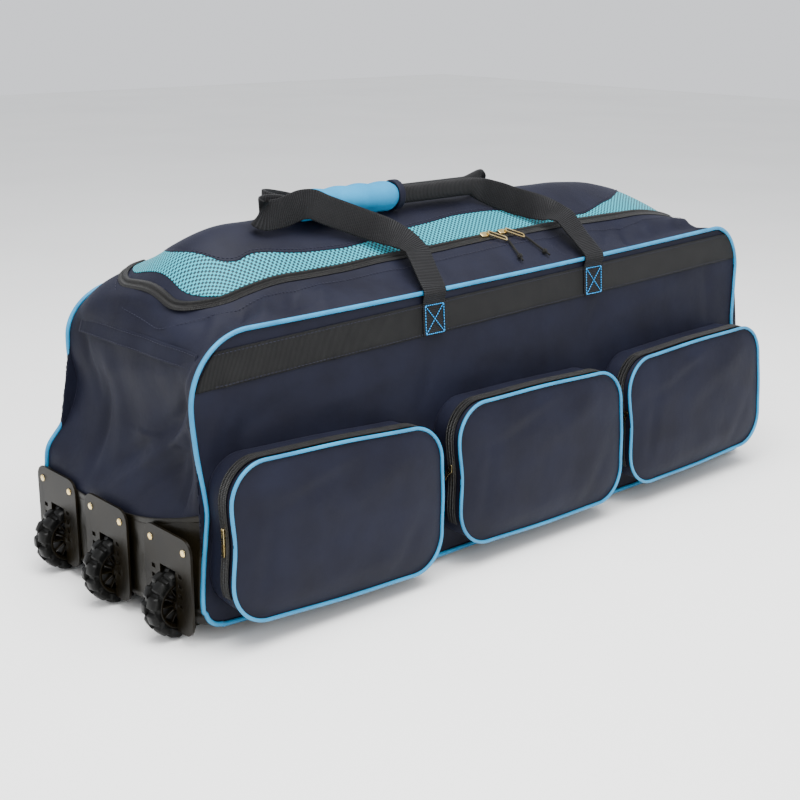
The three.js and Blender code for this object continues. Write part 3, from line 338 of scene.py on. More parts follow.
def through(points, steps):
    """A smooth curve through rows of numbers: a Catmull-Rom cubic between each two rows, in equal steps."""
    points = np.asarray(points, float)
    last = len(points) - 1
    t = np.linspace(0, last, last * steps + 1)
    i = np.minimum(t.astype(int), last - 1)
    f = (t - i)[:, None]
    padded = np.vstack([2 * points[0] - points[1], points, 2 * points[-1] - points[-2]])
    a, b, c, d = padded[i], padded[i + 1], padded[i + 2], padded[i + 3]
    return 0.5 * (2 * b + (c - a) * f + (2 * a - 5 * b + 4 * c - d) * f**2 + (3 * b - a - 3 * c + d) * f**3)


def rounded(rows, step, reach):
    """Rows of numbers joined by straight lines, in even steps of their first three columns' length, with the
    corners rounded off by a bell-shaped average."""
    run = lengths_along(rows[:, :3])
    at = np.linspace(0, run[-1], int(run[-1] / step))
    even = np.stack([np.interp(at, run, rows[:, k]) for k in range(rows.shape[1])], -1)
    half = int(2.5 * reach / step)
    bell = np.exp(-((np.arange(-half, half + 1) * step / reach) ** 2))
    first = 2 * even[:1] - even[half:0:-1]
    last = 2 * even[-1:] - even[-2:-half - 2:-1]
    padded = np.concatenate([first, even, last])
    return np.stack([np.convolve(column, bell / bell.sum(), "valid") for column in padded.T], -1)


def unit(vectors):
    """Vectors made one long."""
    return vectors / np.maximum(np.linalg.norm(vectors, axis=-1, keepdims=True), 1e-9)


def lengths_along(points):
    """The distance run along a row of points, from zero at the first."""
    return np.concatenate([[0], np.cumsum(np.linalg.norm(np.diff(points, axis=0), axis=1))])


# The bag's main form

def panel_top(x):
    """Height of the big panels' top edge, which rises to the far end."""
    return PANEL + FAR_RISE * np.clip(x / LENGTH, 0, 1) ** 2


def underside(x, depth):
    """Height of the underside: level in the middle, curling up to each panel's foot and to the wheel end."""
    raised = END_LIFT * np.clip(1 - (x + END_FLARE) / LIFT_RUN, 0, 1) ** 2
    curl = np.clip(1 - np.minimum(depth, 1 - depth) / 0.12, 0, 1) ** 2
    return BASE_SHEET + FIT + raised + FOOT * curl


def end_reach(rows, flare, height, depth):
    """How far an end stands out: its front, middle and back profiles blended across the depth."""
    share = height / PANEL
    edge = np.where(
        depth < 0.5, read_table(rows, "height", "front", share), read_table(rows, "height", "back", share)
    )
    middle = 1 - np.abs(1 - 2 * depth) ** 3.5
    return flare * mix(edge, read_table(rows, "height", "middle", share), middle)


def near_x(z, depth):
    """X of the wheel end at a height and a share of the depth."""
    return -end_reach(WHEEL_END, END_FLARE, z, depth)


def far_x(z, depth):
    """X of the far end at a height and a share of the depth."""
    return LENGTH + end_reach(FAR_END, FAR_FLARE, z, depth)


def section(column, depth):
    """A column of the sections' table at a share of the depth."""
    return read_table(SECTIONS, "depth", column, depth)


def top_between(x, depth):
    """Height of the top between its corners."""
    return mix(panel_top(x), PANEL + CROWN, section("rise", depth))


def front_y(z):
    """Y of the front panel, which leans back."""
    return LEAN * z / PANEL


def back_y(z):
    """Y of the back panel, which leans forward."""
    return DEPTH - LEAN * z / PANEL


def panel_y(z, front, out=0.0):
    """The plane of the front or the back panel, or one a distance outside it."""
    return front_y(z) - out if front else back_y(z) + out


def fold_push(x, z, depth):
    """Push of the part's own folds: a sum of bell-shaped bumps, held down at both panels' edges."""
    push = 0
    for along, height, at, spread, size in zip(*FOLDS.values()):
        away = ((x / LENGTH - along) * 1.6) ** 2 + (z / PANEL - height) ** 2 + (depth - at) ** 2
        push = push + size * np.exp(-away / spread**2)
    return FOLD_SIZE * push * np.minimum(1, np.minimum(depth, 1 - depth) * 12)


def creases(rows, u, v):
    """Soft creases: each is a height times a flat-topped bell along its line and a bell across it."""
    relief = 0
    for cu, cv, turn, length, width, height in zip(*rows.values()):
        c, s = math.cos(math.radians(turn)), math.sin(math.radians(turn))
        along = ((u - cu) * c + (v - cv) * s) / length
        across = ((v - cv) * c - (u - cu) * s) / width
        relief = relief + height * np.exp(-(along**4)) * np.exp(-(across**2))
    return relief


def slack(u, v, size):
    """Loose cloth: three crossing waves of 60 to 140 mm, each about a third of the size."""
    waves = np.sin(u / 17 + v / 23 + 1.3) + np.sin(u / 11 - v / 19 + 0.4) + np.sin(u / 29 + v / 9.5 + 2.6)
    return size * waves / 3


def section_loop(depth, out, fine=1.0):
    """The section's loop at each depth, standing out by a distance: along the underside, up the far end,
    over the top and down the wheel end, with quarter ellipses at the top corners and arcs at the feet.
    Gives x, z and the outward direction: a row for each place on the loop, a column for each depth."""
    depth = np.atleast_1d(depth)[None, :]
    shoulder = {side: section(side + "_shoulder", depth) * PANEL for side in ("near", "far")}
    run = {"near": section("near_run", depth) * NEAR_RUN, "far": section("far_run", depth) * FAR_RUN}
    start = {"near": near_x(shoulder["near"], depth), "far": far_x(shoulder["far"], depth)}
    foot = {"near": near_x(CORNER, depth), "far": far_x(CORNER, depth)}
    low = {side: underside(foot[side], depth) + CORNER for side in foot}

    def steps(count):
        return np.linspace(0, 1, max(int(count * fine), 3))[:, None]

    parts = []

    def put(x, z, nx, nz):
        parts.append([np.broadcast_to(a, np.broadcast(x, z).shape) for a in (x, z, nx, nz)])

    t = steps(130)
    x = mix(foot["near"] + CORNER, foot["far"] - CORNER, t)
    put(x, underside(x, depth), 0, -1)
    a = steps(8)[1:-1] * math.pi / 2
    put(foot["far"] - CORNER + CORNER * np.sin(a), low["far"] - CORNER * np.cos(a), np.sin(a), -np.cos(a))
    z = mix(low["far"], shoulder["far"], steps(46))
    put(far_x(z, depth), z, 1, 0)
    a = steps(26)[1:] * math.pi / 2
    x = start["far"] - run["far"] * (1 - np.cos(a))
    put(x, mix(shoulder["far"], top_between(x, depth), np.sin(a)), np.cos(a), np.sin(a))
    x = mix(start["far"] - run["far"], start["near"] + run["near"], steps(110)[1:])
    put(x, top_between(x, depth), 0, 1)
    a = (1 - steps(26)[1:]) * math.pi / 2
    x = start["near"] + run["near"] * (1 - np.cos(a))
    put(x, mix(shoulder["near"], top_between(x, depth), np.sin(a)), -np.cos(a), np.sin(a))
    z = mix(shoulder["near"], low["near"], steps(52)[1:])
    put(near_x(z, depth), z, -1, 0)
    a = steps(8)[1:] * math.pi / 2
    put(foot["near"] + CORNER - CORNER * np.cos(a), low["near"] - CORNER * np.sin(a), -np.cos(a), -np.sin(a))
    x, z, nx, nz = (np.concatenate([part[k] for part in parts]) for k in range(4))
    return x + out * nx, z + out * nz, nx, nz


def pushed(x, z, depth):
    """The part's folds applied to a place on the gusset: along X at the ends and upwards on the top."""
    push = fold_push(x, z, depth)
    along = np.clip(x / LENGTH * 2 - 1, -1, 1) ** 5
    above = np.where(z > PANEL * 0.6, 1.0, 0.0)
    return x + push * along * (1 - above * 0.4), z + push * above * (1 - np.abs(along))


def gusset_relief(x, z, y, depth, nx, nz):
    """Creases and slack of the gusset's cloth, faded out at the panels' edges and under the base."""
    on_end = np.clip(-nx * 1.4, 0, 1) * np.clip((z - 120) / 20, 0, 1)
    on_top = np.clip(nz * 1.2, 0, 1)
    far = np.clip(nx * 1.4, 0, 1)
    relief = on_end * (creases(END_CREASES, y, z) + slack(y, z, 1.3))
    relief = relief + on_top * top_relief(x, y)
    relief = relief + far * (0.6 * creases(END_CREASES, DEPTH - y, z) + slack(y, z, 0.7))
    return relief * np.clip(np.minimum(depth, 1 - depth) * 14, 0, 1)


def front_relief(x, z):
    """Creases and slack of the big panels: outwards is positive, and faded at the panel's own edge."""
    edge = np.minimum(np.minimum(x - near_x(z, 0.0), far_x(z, 0.0) - x), panel_top(x) - z)
    return (creases(FRONT_CREASES, x, z) + slack(x, z, 0.5)) * np.clip((edge - 8) / 26, 0, 1)


def panel_relief(x, z, front):
    """The relief of either panel: the back's is the front's turned round, and a little weaker."""
    return front_relief(x, z) if front else front_relief(LENGTH - x, z) * 0.8


def lid_distance(x, y):
    """Distance in plan outside the lid's outline, a rounded rectangle; it is negative inside."""
    radius = LID["corner"]
    x0, x1 = LID["near"] + radius, LENGTH - LID["far"] - radius
    y0, y1 = LID["front"] + LEAN + radius, DEPTH - LEAN - LID["back"] - radius
    dx, dy = np.maximum(x0 - x, x - x1), np.maximum(y0 - y, y - y1)
    return np.hypot(np.maximum(dx, 0), np.maximum(dy, 0)) + np.minimum(np.maximum(dx, dy), 0) - radius


def top_relief(x, y):
    """Creases and slack of the top, which the zip and the lid's tight cloth hold down."""
    loose = np.clip((lid_distance(x, y) - 2) / 16, 0, 1)
    drop = creases(TOP_SAGS, x, y)
    return drop + (creases(TOP_CREASES, x, y) + slack(x, y, 0.7)) * loose + slack(x, y, 0.5) * (1 - loose)


def top_point(x, y, above=0.0):
    """The top's surface at a place in plan: its height and depth share are found from each other in turn,
    with the corner ellipses at both ends, then the folds and creases are added."""
    x, y = np.broadcast_arrays(np.asarray(x, float), np.asarray(y, float))
    z = np.full(x.shape, PANEL)
    for _ in range(6):
        depth = np.clip((y - front_y(z)) / (back_y(z) - front_y(z)), 0, 1)
        z = top_between(x, depth)
        for side, sign in (("near", 1), ("far", -1)):
            shoulder = section(side + "_shoulder", depth) * PANEL
            run = section(side + "_run", depth) * (NEAR_RUN if side == "near" else FAR_RUN)
            start = near_x(shoulder, depth) if side == "near" else far_x(shoulder, depth)
            away = np.clip(1 - sign * (x - start) / run, 0, 1)
            z = np.where(away > 0, mix(shoulder, z, np.sqrt(np.clip(1 - away**2, 0, 1))), z)
    px, pz = pushed(x, z, depth)
    relief = top_relief(x, y)
    return np.stack([px, y, pz + relief * np.clip(np.minimum(depth, 1 - depth) * 14, 0, 1) + above], -1)


def top_frame(x, y):
    """Points of the top with the surface's normal, from its slopes over 2 mm steps."""
    step = 2.0
    dx = top_point(x + step, y) - top_point(x - step, y)
    dy = top_point(x, y + step) - top_point(x, y - step)
    return top_point(x, y), unit(np.cross(dx, dy))


# Meshes

def grid_faces(rows, columns):
    """The quads of a grid whose point (i, j) is number i * columns + j."""
    i, j = np.meshgrid(np.arange(rows - 1), np.arange(columns - 1), indexing="ij")
    first = (i * columns + j).ravel()
    return np.stack([first, first + columns, first + columns + 1, first + 1], 1)


def grid_uv(points):
    """Metres run along the rows and the columns of a grid, from its middle row and column."""
    rows, columns = points.shape[:2]
    u = lengths_along(points[:, columns // 2])
    v = lengths_along(points[rows // 2])
    return np.stack(np.meshgrid(u, v, indexing="ij"), -1) / 1000


def put_mesh(name, points, faces, uv):
    """A mesh from whole arrays, in metres in the frame of the part."""
    mesh = bpy.data.meshes.new(name)
    placed = (np.asarray(points).reshape(-1, 3) + SHIFT) / 1000
    mesh.vertices.add(len(placed))
    mesh.vertices.foreach_set("co", placed.astype(np.float32).ravel())
    mesh.loops.add(faces.size)
    mesh.loops.foreach_set("vertex_index", faces.ravel().astype(np.int32))
    mesh.polygons.add(len(faces))
    mesh.polygons.foreach_set("loop_start", np.arange(0, faces.size, faces.shape[1], dtype=np.int32))
    mesh.polygons.foreach_set("loop_total", np.full(len(faces), faces.shape[1], dtype=np.int32))
    mesh.update(calc_edges=True)
    layer = mesh.uv_layers.new(name="UVMap")
    layer.data.foreach_set("uv", uv.reshape(-1, 2)[faces.ravel()].astype(np.float32).ravel())
    return mesh


def settle(mesh, closed, away_from=None, merge=2e-6):
    """Merges doubled points and turns the faces outwards: by their volume, or away from a point."""
    bm = bmesh.new()
    bm.from_mesh(mesh)
    bmesh.ops.remove_doubles(bm, verts=bm.verts, dist=merge)
    bmesh.ops.dissolve_degenerate(bm, edges=bm.edges, dist=merge)
    if closed:
        bmesh.ops.recalc_face_normals(bm, faces=bm.faces)
    else:
        centre = (np.array(away_from) + SHIFT) / 1000
        facing = sum(f.calc_area() * f.normal.dot(f.calc_center_median() - Vector(centre)) for f in bm.faces)
        if facing < 0:
            bmesh.ops.reverse_faces(bm, faces=bm.faces)
    bm.to_mesh(mesh)
    bm.free()
    mesh.polygons.foreach_set("use_smooth", np.ones(len(mesh.polygons), dtype=bool))
    mesh.update()


def put_piece(name, mesh, material, body="root", stands_for=()):
    """An object for a finished mesh, riding on a body of the part."""
    piece = bpy.data.objects.new(name, mesh)
    bpy.context.scene.collection.objects.link(piece)
    mesh.materials.clear()
    mesh.materials.append(material)
    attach(piece, body)
    if stands_for:
        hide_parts(*stands_for)
    return piece


def closed_piece(name, points, uv, material, slot, stands_for=(), body="root"):
    """A closed surface on a grid that comes back to its first row or is drawn in at its ends."""
    mesh = put_mesh(name, points, grid_faces(*points.shape[:2]), uv)
    settle(mesh, True)
    return put_piece(name, mesh, material, body, stands_for)


def drawn_in(points, uv):
    """A tube's grid with each end drawn to a point at its middle."""
    middle = [np.repeat(points[k, :-1].mean(0)[None], points.shape[1], 0)[None] for k in (0, -1)]
    return np.concatenate([middle[0], points, middle[1]]), np.concatenate([uv[:1], uv, uv[-1:]])


def cloth_piece(name, points, material, stands_for=(), keep=None, wall=WALL, away_from=None, uv=None):
    """A sheet of cloth on a grid, given its wall on the inside."""
    rows, columns = points.shape[:2]
    faces = grid_faces(rows, columns)
    if keep is not None:
        faces = faces[keep(points.reshape(-1, 3)[faces].mean(1))]
    mesh = put_mesh(name, points, faces, grid_uv(points) if uv is None else uv)
    settle(mesh, False, away_from or (LENGTH / 2, DEPTH / 2, PANEL / 2))
    piece = put_piece(name, mesh, material, stands_for=stands_for)
    thick = piece.modifiers.new("Wall", "SOLIDIFY")
    thick.thickness = wall / 1000
    thick.offset = -1
    return piece


def filled(loop, columns, rows, centre):
    """A grid of flat points inside a closed outline: the outline is cut where it crosses the centre's level
    on either side, both halves get as many even steps, and straight lines join them across."""
    level = loop[:, 1] - centre
    cross = np.nonzero(np.diff(np.sign(level)))[0]
    near = cross[np.argmin(loop[cross, 0])]
    loop = np.roll(loop[:-1], -(near + 1), 0)
    loop = np.concatenate([loop, loop[:1]])
    far = np.argmax(np.where(np.abs(loop[:, 1] - centre) < 6, loop[:, 0], -1e9))
    halves = []
    for half in (loop[:far + 1], loop[far:][::-1]):
        run = lengths_along(half)
        at = np.linspace(0, run[-1], columns)
        halves.append(np.stack([np.interp(at, run, half[:, k]) for k in range(2)], -1))
    share = (1 - np.cos(np.linspace(0, math.pi, rows))) / 2
    share = mix(np.linspace(0, 1, rows), share, 0.35)
    return mix(halves[0][:, None], halves[1][:, None], share[None, :, None])


def swept(path, width, profile):
    """A section carried along a path: place plus across times one number plus through times the other.
    The across direction is the given width made square to the path. The section closes on itself, and
    the ends of an open path are drawn in."""
    path = np.asarray(path, float)
    looped = np.allclose(path[0], path[-1])
    along = np.gradient(path, axis=0)
    if looped:
        along[0] = along[-1] = path[1] - path[-2]
    along = unit(along)
    width = np.broadcast_to(width, path.shape)
    across = unit(width - (width * along).sum(1, keepdims=True) * along)
    through_way = np.cross(along, across)
    profile = np.broadcast_to(profile, (len(path),) + np.shape(profile)[-2:])
    points = path[:, None] + across[:, None] * profile[..., :1] + through_way[:, None] * profile[..., 1:]
    run = np.broadcast_to(lengths_along(path)[:, None], points.shape[:2])
    round_way = np.broadcast_to(lengths_along(np.asarray(profile[len(path) // 2]))[None], points.shape[:2])
    uv = np.stack([run, round_way], -1) / 1000
    return (points, uv) if looped else drawn_in(points, uv)


def swept_piece(name, path, width, profile, material, slot, stands_for=(), body="root"):
    """A piece whose form is a section carried along a path."""
    return closed_piece(name, *swept(path, width, profile), material, slot, stands_for, body)


def round_section(radius, sides=12):
    """A circle of points that comes back to its first."""
    a = np.linspace(0, 2 * math.pi, sides + 1)
    return np.stack([radius * np.cos(a), radius * np.sin(a)], -1)


def flat_section(width, thickness, sides=32, power=8.0):
    """A flat section with rounded edges: a superellipse of a high power."""
    a = np.linspace(0, 2 * math.pi, sides + 1)
    c, s = np.cos(a), np.sin(a)
    reach = (np.abs(c) ** power + np.abs(s) ** power) ** (-1 / power)
    return np.stack([width / 2 * c * reach, thickness / 2 * s * reach], -1)


def joined_mesh(name, blocks):
    """One mesh from several grids of points with their own coordinates."""
    points, faces, uvs, first = [], [], [], 0
    for block, uv in blocks:
        points.append(block.reshape(-1, 3))
        uvs.append(uv.reshape(-1, 2))
        faces.append(grid_faces(*block.shape[:2]) + first)
        first += len(points[-1])
    return put_mesh(name, np.concatenate(points), np.concatenate(faces), np.concatenate(uvs))


def stitches(name, runs, material, length=3.6, gap=1.4, radius=0.42):
    """Sewn stitches: small spindles, one for each step of length plus gap along each run of points. A
    spindle is a ring of five points at three places and a point at each end."""
    ring = np.linspace(0, 2 * math.pi, 6)
    places, size = np.array([-1, -0.7, 0, 0.7, 1]), np.array([0, 0.8, 1, 0.8, 0])
    blocks = []
    for run, normal in runs:
        run = np.asarray(run, float)
        far = lengths_along(run)
        count = max(int(far[-1] // (length + gap)), 1)
        at = (np.arange(count) + 0.5) * far[-1] / count
        centre = np.stack([np.interp(at, far, run[:, k]) for k in range(3)], -1)
        tip = np.stack([np.interp(at + 0.5, far, run[:, k]) for k in range(3)], -1)
        along = unit(tip - centre + 1e-9)
        side = unit(np.cross(along, np.broadcast_to(normal, along.shape)))
        up = np.cross(side, along)
        for c, a, s, n in zip(centre, along, side, up):
            bend = radius * (size * 0.9)[:, None, None] * n
            line = c + (places * length / 2)[:, None, None] * a
            disc = radius * size[:, None, None] * (np.cos(ring)[:, None] * s + np.sin(ring)[:, None] * n)
            block = line + disc + bend
            blocks.append((block, np.zeros(block.shape[:2] + (2,))))
    mesh = joined_mesh(name, blocks)
    settle(mesh, True)
    return put_piece(name, mesh, material)


def finished_copy(solid, name, material, body="root", bevel=0.6, cutters=()):
    """A merged copy of one of the part's hard pieces, with holes cut and its sharp edges rounded off."""
    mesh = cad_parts[solid].data.copy()
    mesh.name = name
    bm = bmesh.new()
    bm.from_mesh(mesh)
    bmesh.ops.remove_doubles(bm, verts=bm.verts, dist=1e-5)
    bmesh.ops.dissolve_limit(bm, angle_limit=math.radians(1), verts=bm.verts, edges=bm.edges)
    bm.to_mesh(mesh)
    bm.free()
    piece = put_piece(name, mesh, material, body, (solid,))
    for cutter in cutters:
        cut = piece.modifiers.new("Hole", "BOOLEAN")
        cut.object = cutter
        cut.solver = "EXACT"
    if cutters:
        depsgraph = bpy.context.evaluated_depsgraph_get()
        piece.data = bpy.data.meshes.new_from_object(piece.evaluated_get(depsgraph))
        piece.modifiers.clear()
        for cutter in cutters:
            bpy.data.objects.remove(cutter)
    piece.data.polygons.foreach_set("use_smooth", np.ones(len(piece.data.polygons), dtype=bool))
    piece.data.set_sharp_from_angle(angle=math.radians(35))
    edges = piece.modifiers.new("Edges", "BEVEL")
    edges.width = bevel / 1000
    edges.segments = 2
    edges.limit_method = "ANGLE"
    edges.angle_limit = math.radians(35)
    edges.harden_normals = True
    return piece


# Materials

def linear(colour):
    """An sRGB hex colour as linear red, green, blue and alpha."""
    channels = [int(colour[k:k + 2], 16) / 255 for k in (1, 3, 5)]
    return [c / 12.92 if c <= 0.04045 else ((c + 0.055) / 1.055) ** 2.4 for c in channels] + [1.0]


def node(tree, kind, inputs=None, **settings):
    """Adds a shader node, with settings as its attributes and inputs as values or links."""
    made = tree.nodes.new("ShaderNode" + kind)
    for key, value in settings.items():
        setattr(made, key, value)
    for key, value in (inputs or {}).items():
        if isinstance(value, bpy.types.NodeSocket):
            tree.links.new(value, made.inputs[key])
        else:
            made.inputs[key].default_value = value
    return made


def new_material(name, roughness, **constants):
    """A material whose one shader has its constant values set directly on its sockets."""
    material = bpy.data.materials.new(name)
    material.use_nodes = True
    tree = material.node_tree
    shader = tree.nodes["Principled BSDF"]
    shader.inputs["Roughness"].default_value = roughness
    for key, value in constants.items():
        shader.inputs[key.replace("_", " ")].default_value = value
    return material, tree, shader


def per_mm(pitch):
    """Scale of a wave texture on metres for a pitch in millimetres: its bands repeat 20 / 2 pi times
    in a unit."""
    return 1000 / pitch * 2 * math.pi / 20


def coordinates(tree, source="UV"):
    """One of the texture coordinates, in metres."""
    return node(tree, "TexCoord").outputs[source]


def mottle(tree, place, low, high, scale, detail=3.0):
    """A slow wandering between two colours."""
    noise = node(tree, "TexNoise", {"Vector": place, "Scale": scale, "Detail": detail, "Roughness": 0.55})
    ramp = node(tree, "ValToRGB", {"Fac": noise.outputs["Fac"]})
    ramp.color_ramp.elements[0].position = 0.32
    ramp.color_ramp.elements[0].color = linear(low)
    ramp.color_ramp.elements[1].position = 0.68
    ramp.color_ramp.elements[1].color = linear(high)
    return ramp.outputs["Color"]


def bump(tree, height, strength, distance, below=None):
    """A bump whose distance is in millimetres, on top of the one below it."""
    inputs = {"Height": height, "Strength": strength, "Distance": distance / 1000}
    if below is not None:
        inputs["Normal"] = below
    return node(tree, "Bump", inputs).outputs["Normal"]


def bands(tree, place, pitch, direction, distortion=0.0):
    """Bands at a pitch in millimetres, across a direction."""
    return node(
        tree, "TexWave",
        {"Vector": place, "Scale": per_mm(pitch), "Distortion": distortion, "Detail": 1.0},
        wave_type="BANDS", bands_direction=direction, wave_profile="SIN",
    ).outputs["Fac"]


def product(tree, a, b):
    """One value times another."""
    return node(tree, "Math", {0: a, 1: b}, operation="MULTIPLY").outputs[0]


def woven_polyester(name, low, high, pitch):
    """Plain woven 600 denier polyester, dyed: matt, with a faint sheen and a dry, slightly uneven colour.
    The threads are drawn a little coarser than the real 0.5 mm, so that they show."""
    material, tree, shader = new_material(
        name, 0.6, IOR=1.45, Specular_IOR_Level=0.16, Sheen_Weight=0.04, Sheen_Roughness=0.4
    )
    uv = coordinates(tree)
    shader.inputs["Sheen Tint"].default_value = linear("#9a9cc0")
    tree.links.new(mottle(tree, coordinates(tree, "Object"), low, high, 16.0), shader.inputs["Base Color"])
    weave = product(tree, bands(tree, uv, pitch, "X"), bands(tree, uv, pitch, "Y"))
    cloth = bump(tree, weave, 0.35, 0.25)
    soft = node(tree, "TexNoise", {"Vector": coordinates(tree, "Object"), "Scale": 42.0, "Detail": 4.0})
    tree.links.new(bump(tree, soft.outputs["Fac"], 0.35, 2.4, cloth), shader.inputs["Normal"])
    return material


def air_mesh(name, colour, hole, pitch):
    """Knitted polyester air mesh: a spongy net with staggered oval holes, painted dark where the cloth
    behind shows, with painted shade down in the holes."""
    material, tree, shader = new_material(name, 0.6, Specular_IOR_Level=0.25, Sheen_Weight=0.08)
    place = node(tree, "SeparateXYZ", {"Vector": coordinates(tree)})
    turn = 2 * math.pi * 1000
    across = node(tree, "Math", {0: place.outputs["X"], 1: turn / (pitch * 1.5)}, operation="MULTIPLY")
    up = node(tree, "Math", {0: place.outputs["Y"], 1: turn / (pitch * 1.15)}, operation="MULTIPLY")
    waves = [node(tree, "Math", {0: m.outputs[0]}, operation="COSINE").outputs[0] for m in (across, up)]
    peaks = product(tree, *waves)
    open_share = node(
        tree, "MapRange", {"Value": peaks, "From Min": -0.05, "From Max": 0.25, "To Min": 0.0, "To Max": 1.0}
    ).outputs["Result"]
    # The holes get the hole colour: the dark cloth behind, with painted shade down in the holes.
    shade = node(tree, "Mix", {0: open_share, 6: linear(colour), 7: linear(hole)}, data_type="RGBA")
    tree.links.new(shade.outputs[2], shader.inputs["Base Color"])
    sunk = node(tree, "Math", {0: 1.0, 1: open_share}, operation="SUBTRACT").outputs[0]
    tree.links.new(bump(tree, sunk, 0.9, 1.0), shader.inputs["Normal"])
    return material


def ribbed_webbing(name, low, high, pitch):
    """Woven polypropylene webbing: crosswise ribs at the real pitch, with a soft plastic lustre, and
    painted shade in the valleys between the ribs.
    """
    material, tree, shader = new_material(name, 0.55, Specular_IOR_Level=0.16, Sheen_Weight=0.02)
    uv = coordinates(tree)
    rib = bands(tree, uv, pitch, "X", 0.3)
    # Painted shade: the colour is multiplied by the ribs' wave, so the valleys between the ribs are darker.
    shade = node(tree, "Mix", {0: 0.75, 6: mottle(tree, uv, low, high, 40.0), 7: rib}, data_type="RGBA")
    shade.blend_type = "MULTIPLY"
    tree.links.new(shade.outputs[2], shader.inputs["Base Color"])
    ribs = bump(tree, rib, 0.9, 1.0)
    threads = bump(tree, bands(tree, uv, pitch * 0.7, "Y"), 0.3, 0.3, ribs)
    tree.links.new(threads, shader.inputs["Normal"])
    return material


def satin_piping(name, low, high, pitch):
    """Polyester satin cord piping: smooth and faintly shiny, with slanting twill ribs."""
    material, tree, shader = new_material(name, 0.42, Specular_IOR_Level=0.3, Sheen_Weight=0.04)
    slant = node(tree, "Mapping", {"Vector": coordinates(tree), "Rotation": (0.0, 0.0, math.radians(35))})
    tree.links.new(mottle(tree, coordinates(tree, "Object"), low, high, 25.0), shader.inputs["Base Color"])
    ribs = bands(tree, slant.outputs["Vector"], pitch, "X")
    tree.links.new(bump(tree, ribs, 0.4, 0.35), shader.inputs["Normal"])
    return material


def zip_coil(name, low, high, pitch):
    """Nylon coil zip and its tape: black, with a fine tooth every millimetre and a half."""
    material, tree, shader = new_material(name, 0.42, Specular_IOR_Level=0.25)
    uv = coordinates(tree)
    tree.links.new(mottle(tree, uv, low, high, 60.0), shader.inputs["Base Color"])
    tree.links.new(bump(tree, bands(tree, uv, pitch, "X"), 0.9, 0.8), shader.inputs["Normal"])
    return material


def coated_cloth(name, low, high):
    """Vinyl-coated base cloth: leathery grain, a low gloss and shallow creases."""
    material, tree, shader = new_material(name, 0.33, IOR=1.5, Specular_IOR_Level=0.2)
    place = coordinates(tree, "Object")
    tree.links.new(mottle(tree, place, low, high, 14.0), shader.inputs["Base Color"])
    grain = node(tree, "TexVoronoi", {"Vector": place, "Scale": 620.0})
    fine = bump(tree, grain.outputs["Distance"], 0.25, 0.35)
    waves = node(tree, "TexNoise", {"Vector": place, "Scale": 55.0, "Detail": 5.0})
    tree.links.new(bump(tree, waves.outputs["Fac"], 0.4, 2.0, fine), shader.inputs["Normal"])
    return material


def moulded_plastic(name, low, high, roughness, grain):
    """Injection moulded ABS or polyurethane: a fine spark-eroded grain under a soft gloss."""
    material, tree, shader = new_material(name, roughness, IOR=1.5, Specular_IOR_Level=0.12)
    place = coordinates(tree, "Object")
    tree.links.new(mottle(tree, place, low, high, 30.0), shader.inputs["Base Color"])
    spots = node(tree, "TexNoise", {"Vector": place, "Scale": grain, "Detail": 2.0})
    tree.links.new(bump(tree, spots.outputs["Fac"], 0.3, 0.25), shader.inputs["Normal"])
    return material


def plated_metal(name, low, high, roughness):
    """Brass plating or steel: a clear metal shine, a little cloudy where it is handled."""
    material, tree, shader = new_material(name, roughness, Metallic=1.0)
    place = coordinates(tree, "Object")
    tree.links.new(mottle(tree, place, low, high, 120.0), shader.inputs["Base Color"])
    dents = node(tree, "TexNoise", {"Vector": place, "Scale": 380.0, "Detail": 3.0})
    tree.links.new(bump(tree, dents.outputs["Fac"], 0.15, 0.3), shader.inputs["Normal"])
    return material


def braided_cord(name, low, high):
    """Braided polyester cord: slanting strands that wind round it."""
    material, tree, shader = new_material(name, 0.7, Specular_IOR_Level=0.15, Sheen_Weight=0.04)
    slant = node(tree, "Mapping", {"Vector": coordinates(tree), "Rotation": (0.0, 0.0, math.radians(40))})
    tree.links.new(mottle(tree, coordinates(tree), low, high, 80.0), shader.inputs["Base Color"])
    strands = bands(tree, slant.outputs["Vector"], 1.1, "X")
    tree.links.new(bump(tree, strands, 0.8, 0.5), shader.inputs["Normal"])
    return material


def painted_floor(name, low, high):
    """A pale studio floor: matt paint, with the faintest cloudiness."""
    material, tree, shader = new_material(name, 0.85, Specular_IOR_Level=0.2)
    tree.links.new(mottle(tree, coordinates(tree, "Object"), low, high, 1.5), shader.inputs["Base Color"])
    return material


def finish(name):
    """A finish by its name, made once."""
    return bpy.data.materials.get(name) or FINISHES[name](bpy.context.scene.kit_bag)


